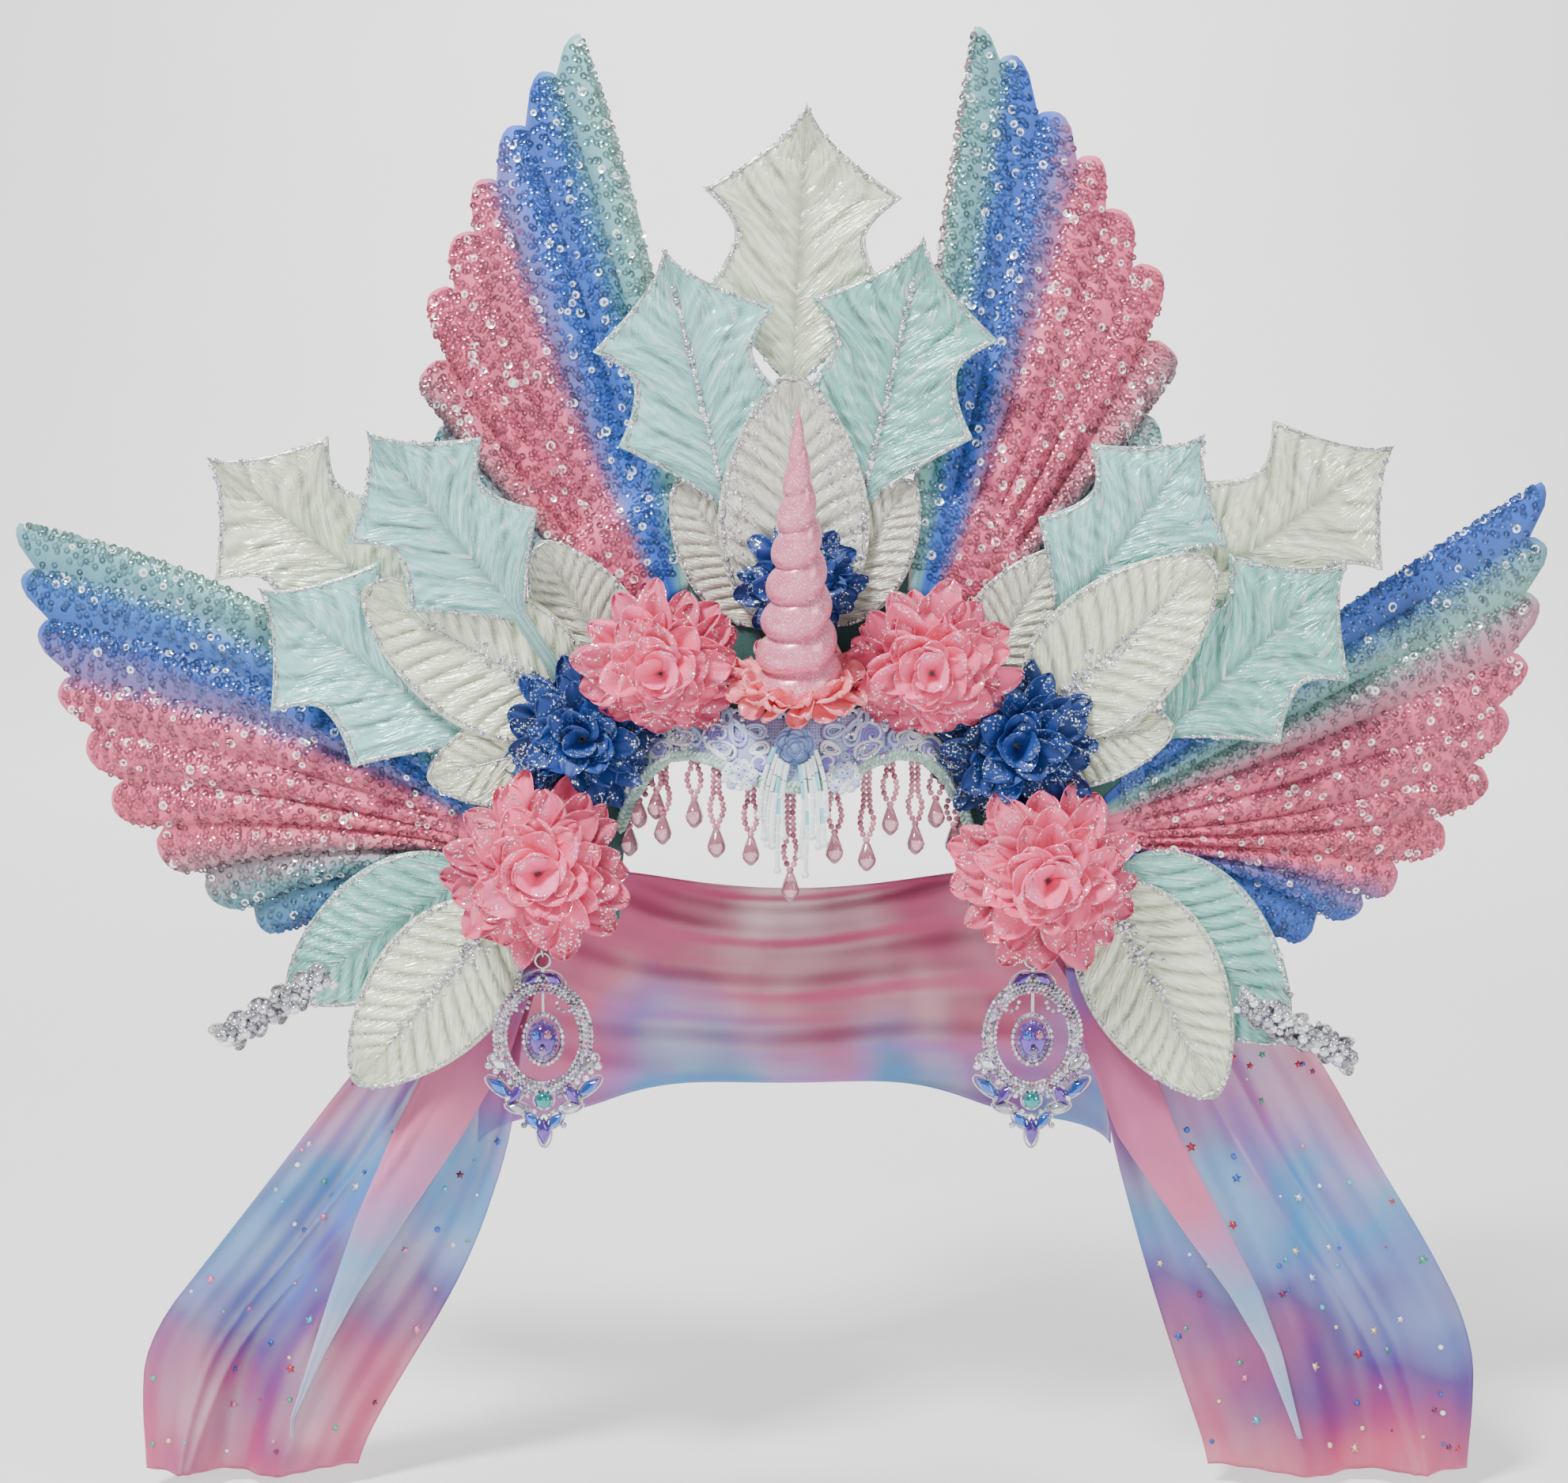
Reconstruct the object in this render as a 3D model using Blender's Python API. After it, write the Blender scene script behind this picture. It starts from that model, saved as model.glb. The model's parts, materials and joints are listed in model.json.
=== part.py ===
"""Winged crown in the form of a kokoshnik: a felt base that sits on the head, two pairs of padded
sequin wings, satin leaves, chiffon flowers, a spiral horn, a lace brow piece with bead fringe, two
jewelled pendants and a long tulle scarf. Sizes in the tables are millimetres, x to the viewer's
right, y away from the viewer and z up from the crown of the head, where the band sits."""

import math
from collections import namedtuple

import bmesh
import bpy
from mathutils import Matrix, Vector

MM = 0.001

# The felt base: an arch over the head, an upright crest and a panel over the hairline
HEAD_HALF_WIDTH = 80.0
HEAD_FRONT_DEPTH = 65.0
HEAD_HEIGHT = 112.0
FELT = 2.5
BAND_FRONT_Y = -18.2
BAND_BACK_Y = 22.0
CREST_FRONT_Y = -21.0
CREST_BACK_Y = -18.5
CREST_HALF_WIDTH = 142.0
CREST_HALF_HEIGHT = 130.0
CREST_CENTRE_Z = -60.0
CREST_FOOT_Z = -118.0
PANEL_FRONT_Z = -36.0
PANEL_BACK_Y = -21.3
SEAT_GAP = 0.3

# Layers: wings behind the crest, then leaves in front of it a step apart, then flowers
LEAF_THICK = 1.2
LEAF_FIRST_Y = -20.3
LEAF_STEP = 1.6
LEAF_LEAN_STEP = 0.03
LEAF_FLAT_RADIUS = 25.0
STEM_STOP = 9.0
STEM_HALF_WIDTH = 3.4

WING_ROOT_THICK = 3.0
WING_PUFF = 5.5
WING_EDGE_THICK = 1.6
WING_LEAN = 0.10
WING_FRONT_SHARE = 0.45
WING_ROWS = 5
NOTCH_SIDEWAYS = 0.37
NOTCH_INWARD = 0.34

VEIL_THICK = 1.0

Wing = namedtuple("Wing", "name root_lead root_trail bend_lead bend_mid bend_trail tips")
WINGS = (
    Wing("wing_upper_left", (-45, 25), (-73, 7), (-47, 146), (-110, 88), (-124, 44),
         ((-92, 262), (-108, 246), (-121, 223), (-135, 200), (-144, 177), (-156, 152), (-161, 116), (-155, 86))),
    Wing("wing_upper_right", (48, 25), (78, 7), (54, 143), (110, 88), (124, 44),
         ((77, 265), (93, 253), (111, 229), (129, 210), (140, 187), (156, 162), (164, 125), (158, 88))),
    Wing("wing_side_left", (-138, -65), (-132, -99), (-194, 26), (-223, -58), (-176, -102),
         ((-338, 53), (-337, 30), (-330, 7), (-322, -20), (-310, -44), (-299, -70), (-277, -94),
          (-253, -113), (-229, -126))),
    Wing("wing_side_right", (133, -64), (136, -94), (189, -10), (219, -80), (181, -94),
         ((325, 71), (327, 44), (324, 20), (320, -8), (312, -31), (304, -60), (285, -87),
          (262, -107), (246, -118), (219, -130))),
)

# Half the width of each leaf's cut, as a share of its length, from base to tip
LeafCut = namedtuple("LeafCut", "along half_width")
HOLLY_CUT = (
    LeafCut(0.00, 0.030), LeafCut(0.10, 0.080), LeafCut(0.22, 0.210), LeafCut(0.31, 0.340),
    LeafCut(0.40, 0.255), LeafCut(0.53, 0.230), LeafCut(0.68, 0.350), LeafCut(0.76, 0.205),
    LeafCut(0.87, 0.090), LeafCut(1.00, 0.000),
)
OVAL_CUT = (
    LeafCut(0.00, 0.030), LeafCut(0.08, 0.145), LeafCut(0.22, 0.250), LeafCut(0.40, 0.290),
    LeafCut(0.58, 0.270), LeafCut(0.74, 0.205), LeafCut(0.88, 0.110), LeafCut(1.00, 0.000),
)

# hub is the place that a cluster fans from, and layer counts outwards from the crest
Leaf = namedtuple("Leaf", "name cut base tip hub layer fold colour")
TOP_HUB, CREST_TOP, LEFT_HUB, RIGHT_HUB = (0, 20), (0, 48), (-88, -30), (92, -32)
LOW_LEFT_HUB, LOW_RIGHT_HUB = (-110, -95), (108, -95)
LEAVES = (
    Leaf("holly_top", HOLLY_CUT, (-1, 112), (5, 229), CREST_TOP, 1, 1.0, "cream"),
    Leaf("holly_mint_left", HOLLY_CUT, (-29, 62), (-55, 169), TOP_HUB, 2, 1.4, "mint"),
    Leaf("holly_mint_right", HOLLY_CUT, (29, 64), (54, 174), TOP_HUB, 2, 1.4, "mint"),
    Leaf("oval_centre", OVAL_CUT, (0, 6), (-1, 117), TOP_HUB, 3, 1.0, "silver"),
    Leaf("oval_horn_left", OVAL_CUT, (-8, 12), (-50, 72), TOP_HUB, 1, 0.6, "silver"),
    Leaf("oval_horn_right", OVAL_CUT, (10, 12), (50, 72), TOP_HUB, 1, 0.6, "silver"),
    Leaf("holly_cream_left", HOLLY_CUT, (-163, 13), (-249, 82), LEFT_HUB, 1, 1.0, "cream"),
    Leaf("holly_aqua_left", HOLLY_CUT, (-116, 14), (-178, 93), LEFT_HUB, 5.4, 1.4, "aqua"),
    Leaf("holly_mint_low_left", HOLLY_CUT, (-138, -39), (-228, 27), LEFT_HUB, 2, 1.0, "aqua"),
    Leaf("oval_cream_left", OVAL_CUT, (-88, -28), (-182, 26), LEFT_HUB, 3.9, 0.4, "cream"),
    Leaf("oval_low_left", OVAL_CUT, (-79, -36), (-157, -55), LEFT_HUB, 3, 0.8, "cream"),
    Leaf("oval_silver_left", OVAL_CUT, (-70, -20), (-109, 46), LEFT_HUB, 1, 0.8, "silver"),
    Leaf("holly_cream_right", HOLLY_CUT, (165, 20), (254, 87), RIGHT_HUB, 1, 1.0, "cream"),
    Leaf("holly_aqua_right", HOLLY_CUT, (113, 10), (173, 92), RIGHT_HUB, 2, 1.0, "aqua"),
    Leaf("holly_mint_low_right", HOLLY_CUT, (158, -36), (234, 37), RIGHT_HUB, 2, 1.0, "mint"),
    Leaf("oval_cream_right", OVAL_CUT, (102, -32), (176, 39), RIGHT_HUB, 4, 1.4, "cream"),
    Leaf("oval_low_right", OVAL_CUT, (88, -42), (162, -33), RIGHT_HUB, 3, 0.8, "cream"),
    Leaf("oval_silver_right", OVAL_CUT, (76, -18), (112, 42), RIGHT_HUB, 1, 0.8, "silver"),
    Leaf("leaf_aqua_foot_left", OVAL_CUT, (-138, -97), (-219, -150), LOW_LEFT_HUB, 1, 0.8, "aqua"),
    Leaf("leaf_silver_foot_left", OVAL_CUT, (-124, -112), (-190, -188), LOW_LEFT_HUB, 2, 1.0, "silver"),
    Leaf("leaf_aqua_foot_right", OVAL_CUT, (143, -92), (212, -170), LOW_RIGHT_HUB, 1, 0.8, "aqua"),
    Leaf("leaf_cream_foot_right", OVAL_CUT, (133, -102), (182, -194), LOW_RIGHT_HUB, 2, 1.0, "cream"),
)

# calyx_back_y is the face behind the flower that its calyx reaches, less the gap
Flower = namedtuple("Flower", "name centre radius depth back_y calyx_back_y colour")
FLOWERS = (
    Flower("flower_pink_upper_left", (-57, -7), 30, 20, -40.8, -21.3, "pink"),
    Flower("flower_pink_upper_right", (58, -7), 30, 20, -40.8, -21.3, "pink"),
    Flower("flower_blue_left", (-90, -37), 28, 14, -29.6, -26.0, "blue"),
    Flower("flower_blue_right", (94, -40), 29, 14, -29.6, -26.0, "blue"),
    Flower("flower_blue_centre", (2, 31), 23, 7, -29.6, -26.6, "blue"),
    Flower("flower_pink_lower_left", (-108, -92), 34, 20, -40.8, -21.3, "pink"),
    Flower("flower_pink_lower_right", (106, -95), 34, 20, -40.8, -21.3, "pink"),
)
PETALS_ROUND = 10
# Rings of a flower from its eye to its back: share of the radius, of the depth, and how deep the petals cut
FlowerRing = namedtuple("FlowerRing", "radius height cut")
FLOWER_RINGS = (
    FlowerRing(0.22, 1.00, 0.15), FlowerRing(0.24, 0.72, 0.00), FlowerRing(0.58, 0.88, 0.14),
    FlowerRing(0.50, 0.52, 0.00), FlowerRing(1.00, 0.46, 0.12), FlowerRing(0.66, 0.04, 0.00),
)
CALYX_RADIUS = 5.0

HORN_FOOT = (1.0, -49.5, -13.5)
HORN_LENGTH = 124.0
HORN_RADIUS = 18.0
HORN_LEAN_DEG = 22.0
HORN_TURNS = 8
HORN_SIDES = 12
HORN_ROWS_PER_TURN = 3
HORN_GROOVE = 0.20

RUFFLE_INNER = 18.4
RUFFLE_OUTER = 26.0
RUFFLE_PLEATS = 12

# The brow lace, outwards from the middle: its upper and lower edges over the forehead
Brow = namedtuple("Brow", "x top foot")
BROW = (
    Brow(0, -27, -55), Brow(12, -27, -54), Brow(24, -26, -49), Brow(34, -25, -45),
    Brow(44, -29, -43), Brow(54, -34, -45), Brow(63, -43, -53), Brow(71, -56, -66), Brow(75, -68, -77),
)
LACE_OUT = 3.4
LACE_THICK = 1.6
HEADER_OUT = 0.8
HEADER_THICK = 1.2
HEADER_HEIGHT = 5.0

Drop = namedtuple("Drop", "x y foot")
DROPS = (
    Drop(-71, -28, -88), Drop(-66.5, -34, -75), Drop(-59, -36, -71), Drop(-56, -41, -81), Drop(-42.5, -48, -73),
    Drop(-33, -53, -85), Drop(-18.5, -58, -87.5), Drop(-2, -61, -102), Drop(16.5, -59, -86.5), Drop(30, -54, -90.5),
    Drop(40, -49, -76), Drop(51, -43, -85), Drop(60, -37, -74.5), Drop(68, -31, -87), Drop(71.5, -27, -84),
)
DROP_LENGTH = 12.5
DROP_RADIUS = 4.0
CHAIN_RADIUS = 0.9
DROP_SIDES = 5

ROSE_CENTRE = (0.0, -57.3, -38.0)
ROSE_RADIUS = 7.5
ROSE_DEPTH = 6.0

Strand = namedtuple("Strand", "top foot length")
TASSEL = (
    Strand(-11, -15.5, 18), Strand(-8.5, -12.5, 30), Strand(-6, -9.5, 35), Strand(-3.5, -6.5, 45),
    Strand(3.5, 3.5, 46), Strand(6, 7.5, 31), Strand(8.5, 10.5, 35), Strand(11, 13.5, 20),
)
TASSEL_Y = -64.6
TASSEL_TOP_Z = -44.0
BUGLE_RADIUS = 0.9

# The pendants, from the ring that they hang by: x and z from the pivot, half sizes, turn in degrees
PENDANT_Y = -34.0
PIVOT_Z = -131.0
HOOK_TOP_Z = -113.5
HOOK_WIRE = 0.8
PENDANT_X = (-108.0, 102.0)
RING_RADIUS = 3.2
RING_WIRE = 0.5
OVAL_CENTRE_Z = -35.0
OVAL_HALF_WIDTH = 18.5
OVAL_HALF_HEIGHT = 22.5
OVAL_BAND = 5.2
OVAL_THICK = 2.6
Stone = namedtuple("Stone", "x z half_length half_width turn")
STONES = (
    Stone(-4.6, -9.6, 5.4, 2.4, 60), Stone(4.6, -9.6, 5.4, 2.4, -60),
    Stone(0.0, -62.5, 4.2, 4.2, 0),
    Stone(-19.3, -57.0, 7.0, 2.6, -50), Stone(19.3, -57.0, 7.0, 2.6, 50),
    Stone(-12.0, -60.0, 6.0, 2.6, 35), Stone(12.0, -60.0, 6.0, 2.6, -35),
    Stone(-11.5, -66.0, 5.4, 2.5, -75), Stone(11.5, -66.0, 5.4, 2.5, 75),
    Stone(-5.0, -71.5, 5.0, 2.6, -42), Stone(5.0, -71.5, 5.0, 2.6, 42),
    Stone(0.0, -76.5, 7.0, 3.2, 0),
    Stone(-19.0, -46.5, 5.4, 2.8, -55), Stone(19.0, -46.5, 5.4, 2.8, 55),
)
STONE_SIDES = 6
STONE_CROWN = 2.2
STONE_BACK = 1.4
STONE_TABLE = 0.5
PEAR_CENTRE_Z = -36.0
PEAR_HALF_WIDTH = 7.0
PEAR_HALF_HEIGHT = 9.5

Spray = namedtuple("Spray", "name root tip radius y")
SPRAYS = (
    Spray("crystal_spray_left", (-199, -138), (-247, -168), 8.5, -34.0),
    Spray("crystal_spray_right", (189, -149), (241, -176), 9.0, -35.0),
)

# The scarf's tails: height, outer and inner edges, fold depth and the middle of the folds in y
TailRow = namedtuple("TailRow", "z outer inner fold y")
TAIL_LEFT = (
    TailRow(-100, -126, -99, 0.0, -17.5), TailRow(-117, -128, -99, 0.0, -17.5),
    TailRow(-138, -150, -108, 1.5, -16), TailRow(-162, -173, -118, 3.0, -14), TailRow(-188, -195, -121, 4.5, -12),
    TailRow(-218, -218, -125, 6.0, -10), TailRow(-268, -257, -142, 7.0, -8), TailRow(-306, -287, -162, 7.0, -7),
    TailRow(-330, -291, -178, 7.0, -7), TailRow(-372, -290, -199, 7.0, -7),
)
TAIL_RIGHT = (
    TailRow(-100, 126, 99, 0.0, -17.5), TailRow(-117, 130, 100, 0.0, -17.5),
    TailRow(-138, 170, 116, 1.5, -16), TailRow(-160, 216, 127, 3.0, -14), TailRow(-188, 235, 134, 4.5, -12),
    TailRow(-218, 251, 140, 6.0, -10), TailRow(-268, 282, 154, 7.0, -8), TailRow(-306, 301, 166, 7.0, -7),
    TailRow(-330, 303, 174, 7.0, -7), TailRow(-372, 301, 188, 7.0, -7),
)
TAIL_COLUMNS = 12
TAIL_FOLDS = 2.5

SWAG_TOP_Z = -100.0
SWAG_FOOT_Z = -222.0
SWAG_TOP_HALF_WIDTH = 84.0
SWAG_FOOT_HALF_WIDTH = 121.0
SWAG_START_Y = 4.0
SWAG_TOP_DEPTH = 116.0
SWAG_COLUMNS = 18
SWAG_ROWS = 3

# Colour, metallic and roughness of each finish
Finish = namedtuple("Finish", "colour metallic roughness")
FINISHES = {
    "felt": Finish((0.02, 0.10, 0.10), 0.0, 0.95),
    "sequin": Finish((0.78, 0.30, 0.42), 0.5, 0.35),
    "cream": Finish((0.72, 0.76, 0.66), 0.1, 0.40),
    "mint": Finish((0.38, 0.62, 0.58), 0.1, 0.40),
    "aqua": Finish((0.50, 0.72, 0.70), 0.1, 0.40),
    "silver": Finish((0.66, 0.68, 0.64), 0.3, 0.35),
    "pink": Finish((0.80, 0.16, 0.26), 0.0, 0.60),
    "blue": Finish((0.01, 0.07, 0.32), 0.0, 0.55),
    "horn": Finish((0.78, 0.36, 0.44), 0.1, 0.35),
    "lace": Finish((0.42, 0.50, 0.74), 0.0, 0.80),
    "resin": Finish((0.24, 0.34, 0.56), 0.0, 0.45),
    "crystal": Finish((0.70, 0.32, 0.40), 0.0, 0.10),
    "white_bead": Finish((0.86, 0.87, 0.86), 0.0, 0.30),
    "rhinestone": Finish((0.55, 0.50, 0.68), 0.8, 0.20),
    "wire": Finish((0.62, 0.62, 0.64), 1.0, 0.25),
    "tulle": Finish((0.62, 0.42, 0.60), 0.0, 0.80),
}


def clear_scene():
    for obj in list(bpy.data.objects):
        bpy.data.objects.remove(obj)


def finish_material(name):
    """The Principled material of one finish, made once."""
    found = bpy.data.materials.get(name)
    if found:
        return found
    made = bpy.data.materials.new(name)
    made.use_nodes = True
    shader = made.node_tree.nodes["Principled BSDF"]
    finish = FINISHES[name]
    shader.inputs["Base Color"].default_value = (*finish.colour, 1.0)
    shader.inputs["Metallic"].default_value = finish.metallic
    shader.inputs["Roughness"].default_value = finish.roughness
    return made


def solid(name, points, faces, finish, place=None):
    """A named object from points in millimetres, with doubled points made one and faces turned out."""
    mesh = bpy.data.meshes.new(name)
    mesh.from_pydata([Vector(p) * MM for p in points], [], faces)
    shape = bmesh.new()
    shape.from_mesh(mesh)
    bmesh.ops.remove_doubles(shape, verts=shape.verts, dist=0.02 * MM)
    bmesh.ops.recalc_face_normals(shape, faces=shape.faces)
    shape.to_mesh(mesh)
    shape.free()
    mesh.materials.append(finish_material(finish))
    obj = bpy.data.objects.new(name, mesh)
    if place is not None:
        obj.matrix_world = place
    bpy.context.scene.collection.objects.link(obj)
    mesh.shade_smooth()
    mesh.set_sharp_from_angle(angle=math.radians(40))
    return obj


def slab(name, front, back, finish):
    """A closed solid between two like grids of points, joined round their rims."""
    rows, columns = len(front), len(front[0])
    points = [p for row in front for p in row] + [p for row in back for p in row]
    behind = rows * columns
    faces = []
    for r in range(rows - 1):
        for c in range(columns - 1):
            a = r * columns + c
            quad = (a, a + 1, a + columns + 1, a + columns)
            faces.append(quad)
            faces.append(tuple(behind + i for i in reversed(quad)))
    for r in range(rows - 1):
        for c in (0, columns - 1):
            a = r * columns + c
            faces.append((a, a + columns, behind + a + columns, behind + a))
    for c in range(columns - 1):
        for r in (0, rows - 1):
            a = r * columns + c
            faces.append((a, behind + a, behind + a + 1, a + 1))
    return solid(name, points, faces, finish)


def lathe(name, rings, finish, place=None):
    """A closed solid through rings of like length, from a first to a last point or ring."""
    sides = max(len(ring) for ring in rings)
    points, starts = [], []
    for ring in rings:
        starts.append(len(points))
        points.extend(ring)
    faces = []
    for i in range(len(rings) - 1):
        for s in range(sides):
            t = (s + 1) % sides
            lower = [starts[i] + k % len(rings[i]) for k in (s, t)]
            upper = [starts[i + 1] + k % len(rings[i + 1]) for k in (t, s)]
            corners = list(dict.fromkeys(lower + upper))
            faces.append(corners)
    for i in (0, len(rings) - 1):
        if len(rings[i]) > 1:
            faces.append([starts[i] + s for s in range(sides)])
    return solid(name, points, faces, finish, place)


def join_by_union(keep, others):
    """Unites keep with the others by Boolean modifiers, applied, and removes the others."""
    for other in others:
        modifier = keep.modifiers.new("join", "BOOLEAN")
        modifier.operation = "UNION"
        modifier.solver = "EXACT"
        modifier.object = other
    bpy.context.view_layer.update()
    graph = bpy.context.evaluated_depsgraph_get()
    united = bpy.data.meshes.new_from_object(keep.evaluated_get(graph))
    keep.modifiers.clear()
    keep.data = united
    keep.matrix_world = Matrix.Identity(4)
    for other in others:
        bpy.data.objects.remove(other)
    return keep


def mix(a, b, share):
    return tuple(p + (q - p) * share for p, q in zip(a, b))


def brow_y(x, z, out):
    """How far forward the head's form, grown by out, stands at x and z, or the crest where that is further."""
    wide = x / (HEAD_HALF_WIDTH + out)
    high = (z + HEAD_HEIGHT) / (HEAD_HEIGHT + out)
    head = -(HEAD_FRONT_DEPTH + out) * math.sqrt(max(0.0, 1 - wide * wide - high * high))
    return min(head, CREST_FRONT_Y - SEAT_GAP - out)


# Felt base

def arch(half_width, half_height, centre_z, start_deg, end_deg, steps):
    for i in range(steps + 1):
        angle = math.radians(start_deg + (end_deg - start_deg) * i / steps)
        yield half_width * math.cos(angle), centre_z + half_height * math.sin(angle)


def head_band():
    steps = 20
    inner = list(arch(HEAD_HALF_WIDTH, HEAD_HEIGHT, -HEAD_HEIGHT, -3, 183, steps))
    outer = list(arch(HEAD_HALF_WIDTH + FELT, HEAD_HEIGHT + FELT, -HEAD_HEIGHT, -3, 183, steps))
    grids = [[[(x, y, z) for x, z in line] for y in (BAND_FRONT_Y, BAND_BACK_Y)] for line in (inner, outer)]
    slab("head_band", grids[0], grids[1], "felt")


def crest():
    """The upright felt, whose inner edge follows the head where the crest stands."""
    steps = 22
    share = math.sqrt(1 - (CREST_FRONT_Y / HEAD_FRONT_DEPTH) ** 2)
    foot = math.degrees(math.asin((CREST_CENTRE_Z - CREST_FOOT_Z) / CREST_HALF_HEIGHT))
    inner = list(arch(HEAD_HALF_WIDTH * share, HEAD_HEIGHT * share, -HEAD_HEIGHT, -3, 183, steps))
    outer = list(arch(CREST_HALF_WIDTH, CREST_HALF_HEIGHT, CREST_CENTRE_Z, -foot, 180 + foot, steps))
    grids = [[[(x, y, z) for x, z in line] for line in (inner, outer)] for y in (CREST_FRONT_Y, CREST_BACK_Y)]
    slab("felt_crest", grids[0], grids[1], "felt")


def brow_panel():
    """The part of the head's form between the crest and the hairline."""
    widest_deg, columns, rows = 42.0, 10, 3
    grids = []
    for out in (FELT, 0.0):
        wide, deep, high = HEAD_HALF_WIDTH + out, HEAD_FRONT_DEPTH + out, HEAD_HEIGHT + out
        grid = []
        for r in range(rows + 1):
            line = []
            for c in range(columns + 1):
                side = math.radians(widest_deg * (2 * c / columns - 1))
                back = math.asin(-PANEL_BACK_Y / (deep * math.cos(side)))
                front = math.acos(min(1.0, (PANEL_FRONT_Z + HEAD_HEIGHT) / (high * math.cos(side))))
                tilt = back + (max(front, back + 0.06) - back) * r / rows
                line.append((wide * math.sin(side), -deep * math.cos(side) * math.sin(tilt),
                             -HEAD_HEIGHT + high * math.cos(side) * math.cos(tilt)))
            grid.append(line)
        grids.append(grid)
    slab("brow_panel", grids[0], grids[1], "felt")


# Wings

def bezier(start, bend, end, share):
    return mix(mix(start, bend, share), mix(bend, end, share), share)


def three_way(lead, middle, trail, share):
    """Goes from lead through middle to trail as share goes from 0 to 1."""
    return mix(lead, middle, share * 2) if share < 0.5 else mix(middle, trail, share * 2 - 1)


def feather_end(wing, feather, across):
    """Where the line at across, -1 to 1, of one feather ends: its round tip, down to the notches beside it."""
    tip = wing.tips[feather]
    if across == 0:
        return tip
    last = len(wing.tips) - 1
    other = feather - 1 if across < 0 else feather + 1
    if not 0 <= other <= last:
        return tip if across < 0 else mix(tip, wing.root_trail, 0.12 * across * across)
    upper, lower = (wing.tips[other], tip) if across < 0 else (tip, wing.tips[other])
    apart = math.dist(upper, lower)
    inward = Vector(wing.bend_mid) - Vector(lower)
    inward = inward.normalized() * apart * NOTCH_INWARD
    notch = Vector(mix(lower, upper, NOTCH_SIDEWAYS)) + inward
    share = 1 - math.sqrt(1 - across * across)
    sideways = mix(tip, notch, abs(across))
    lengthways = mix(tip, notch, share)
    along = (Vector(wing.bend_mid) - Vector(tip)).normalized()
    step = Vector(sideways) - Vector(tip)
    wanted = (Vector(lengthways) - Vector(tip)).dot(along)
    return tuple(Vector(tip) + step - along * (step.dot(along) - wanted))


def wing_body(wing):
    feathers = len(wing.tips)
    lines = [(f, a) for f in range(feathers) for a in (-1.0, -0.45, 0.45)] + [(feathers - 1, 1.0)]
    front, back = [], []
    for row in range(WING_ROWS + 1):
        share = row / WING_ROWS
        front_row, back_row = [], []
        for feather, across in lines:
            spread = (feather + (across + 1) / 2) / feathers
            root = mix(wing.root_lead, wing.root_trail, spread)
            bend = three_way(wing.bend_lead, wing.bend_mid, wing.bend_trail, spread)
            x, z = bezier(root, bend, feather_end(wing, feather, across), share)
            length = math.dist((x, z), root)
            y = CREST_BACK_Y + SEAT_GAP + WING_LEAN * length
            puff = math.sin(math.pi * min(1.0, share * 1.05) ** 1.2) * (0.45 + 0.55 * (1 - abs(across)))
            rim = min(1.0, spread * 8, (1 - spread) * 8)
            thick = WING_ROOT_THICK + (WING_EDGE_THICK - WING_ROOT_THICK) * share
            front_row.append((x, y - WING_FRONT_SHARE * WING_PUFF * puff * rim, z))
            back_row.append((x, y + thick + (1 - WING_FRONT_SHARE) * WING_PUFF * puff * rim, z))
        front.append(front_row)
        back.append(back_row)
    slab(wing.name, front, back, "sequin")


# Leaves

def leaf_body(leaf):
    base, tip = Vector(leaf.base), Vector(leaf.tip)
    along = tip - base
    length = along.length
    across = Vector((along.y, -along.x)) / length
    hub = Vector(leaf.hub)
    rows = []
    stem = base - hub
    if stem.length > STEM_STOP + 5:
        sideways = Vector((stem.y, -stem.x)).normalized() * STEM_HALF_WIDTH
        for reach in (STEM_STOP, LEAF_FLAT_RADIUS):
            if reach < stem.length - 5:
                place = hub + stem.normalized() * reach
                rows.append([(place + sideways * side, 0.0) for side in (-1, 0, 1)])
    for cut in leaf.cut:
        row = []
        for side in (-1, 0, 1):
            rib = 0.93 if side == 0 and 0 < cut.along < 1 else 1.0
            place = base + along * (cut.along * rib) + across * (side * cut.half_width * length)
            row.append((place, leaf.fold * abs(side) * math.sin(math.pi * cut.along)))
        rows.append(row)
    front, back = [], []
    for row in rows:
        front_row, back_row = [], []
        for place, raised in row:
            away = max(0.0, (place - hub).length - LEAF_FLAT_RADIUS)
            y = LEAF_FIRST_Y - LEAF_STEP * leaf.layer - LEAF_LEAN_STEP * leaf.layer * away
            y -= raised * min(1.0, away / 40)
            front_row.append((place.x, y - LEAF_THICK / 2, place.y))
            back_row.append((place.x, y + LEAF_THICK / 2, place.y))
        front.append(front_row)
        back.append(back_row)
    slab(leaf.name, front, back, leaf.colour)


# Flowers and the horn's ruffle

def flower_body(flower):
    x, z = flower.centre
    sides = PETALS_ROUND * 2
    rings = [[(x, flower.back_y - flower.depth * 0.84, z)]]
    for number, ring in enumerate(FLOWER_RINGS):
        points = []
        for s in range(sides):
            petal = -1 if (s + number // 2) % 2 else 1
            radius = flower.radius * ring.radius * (1 + ring.cut * petal)
            angle = 2 * math.pi * s / sides
            points.append((x + radius * math.cos(angle), flower.back_y - flower.depth * ring.height,
                           z + radius * math.sin(angle)))
        rings.append(points)
    for y in (flower.back_y, flower.calyx_back_y):
        rings.append([(x + CALYX_RADIUS * math.cos(2 * math.pi * s / sides), y,
                       z + CALYX_RADIUS * math.sin(2 * math.pi * s / sides)) for s in range(sides)])
    lathe(flower.name, rings, flower.colour)


def horn_place():
    lean = Matrix.Rotation(math.radians(HORN_LEAN_DEG), 4, "X")
    return Matrix.Translation(Vector(HORN_FOOT) * MM) @ lean


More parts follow.
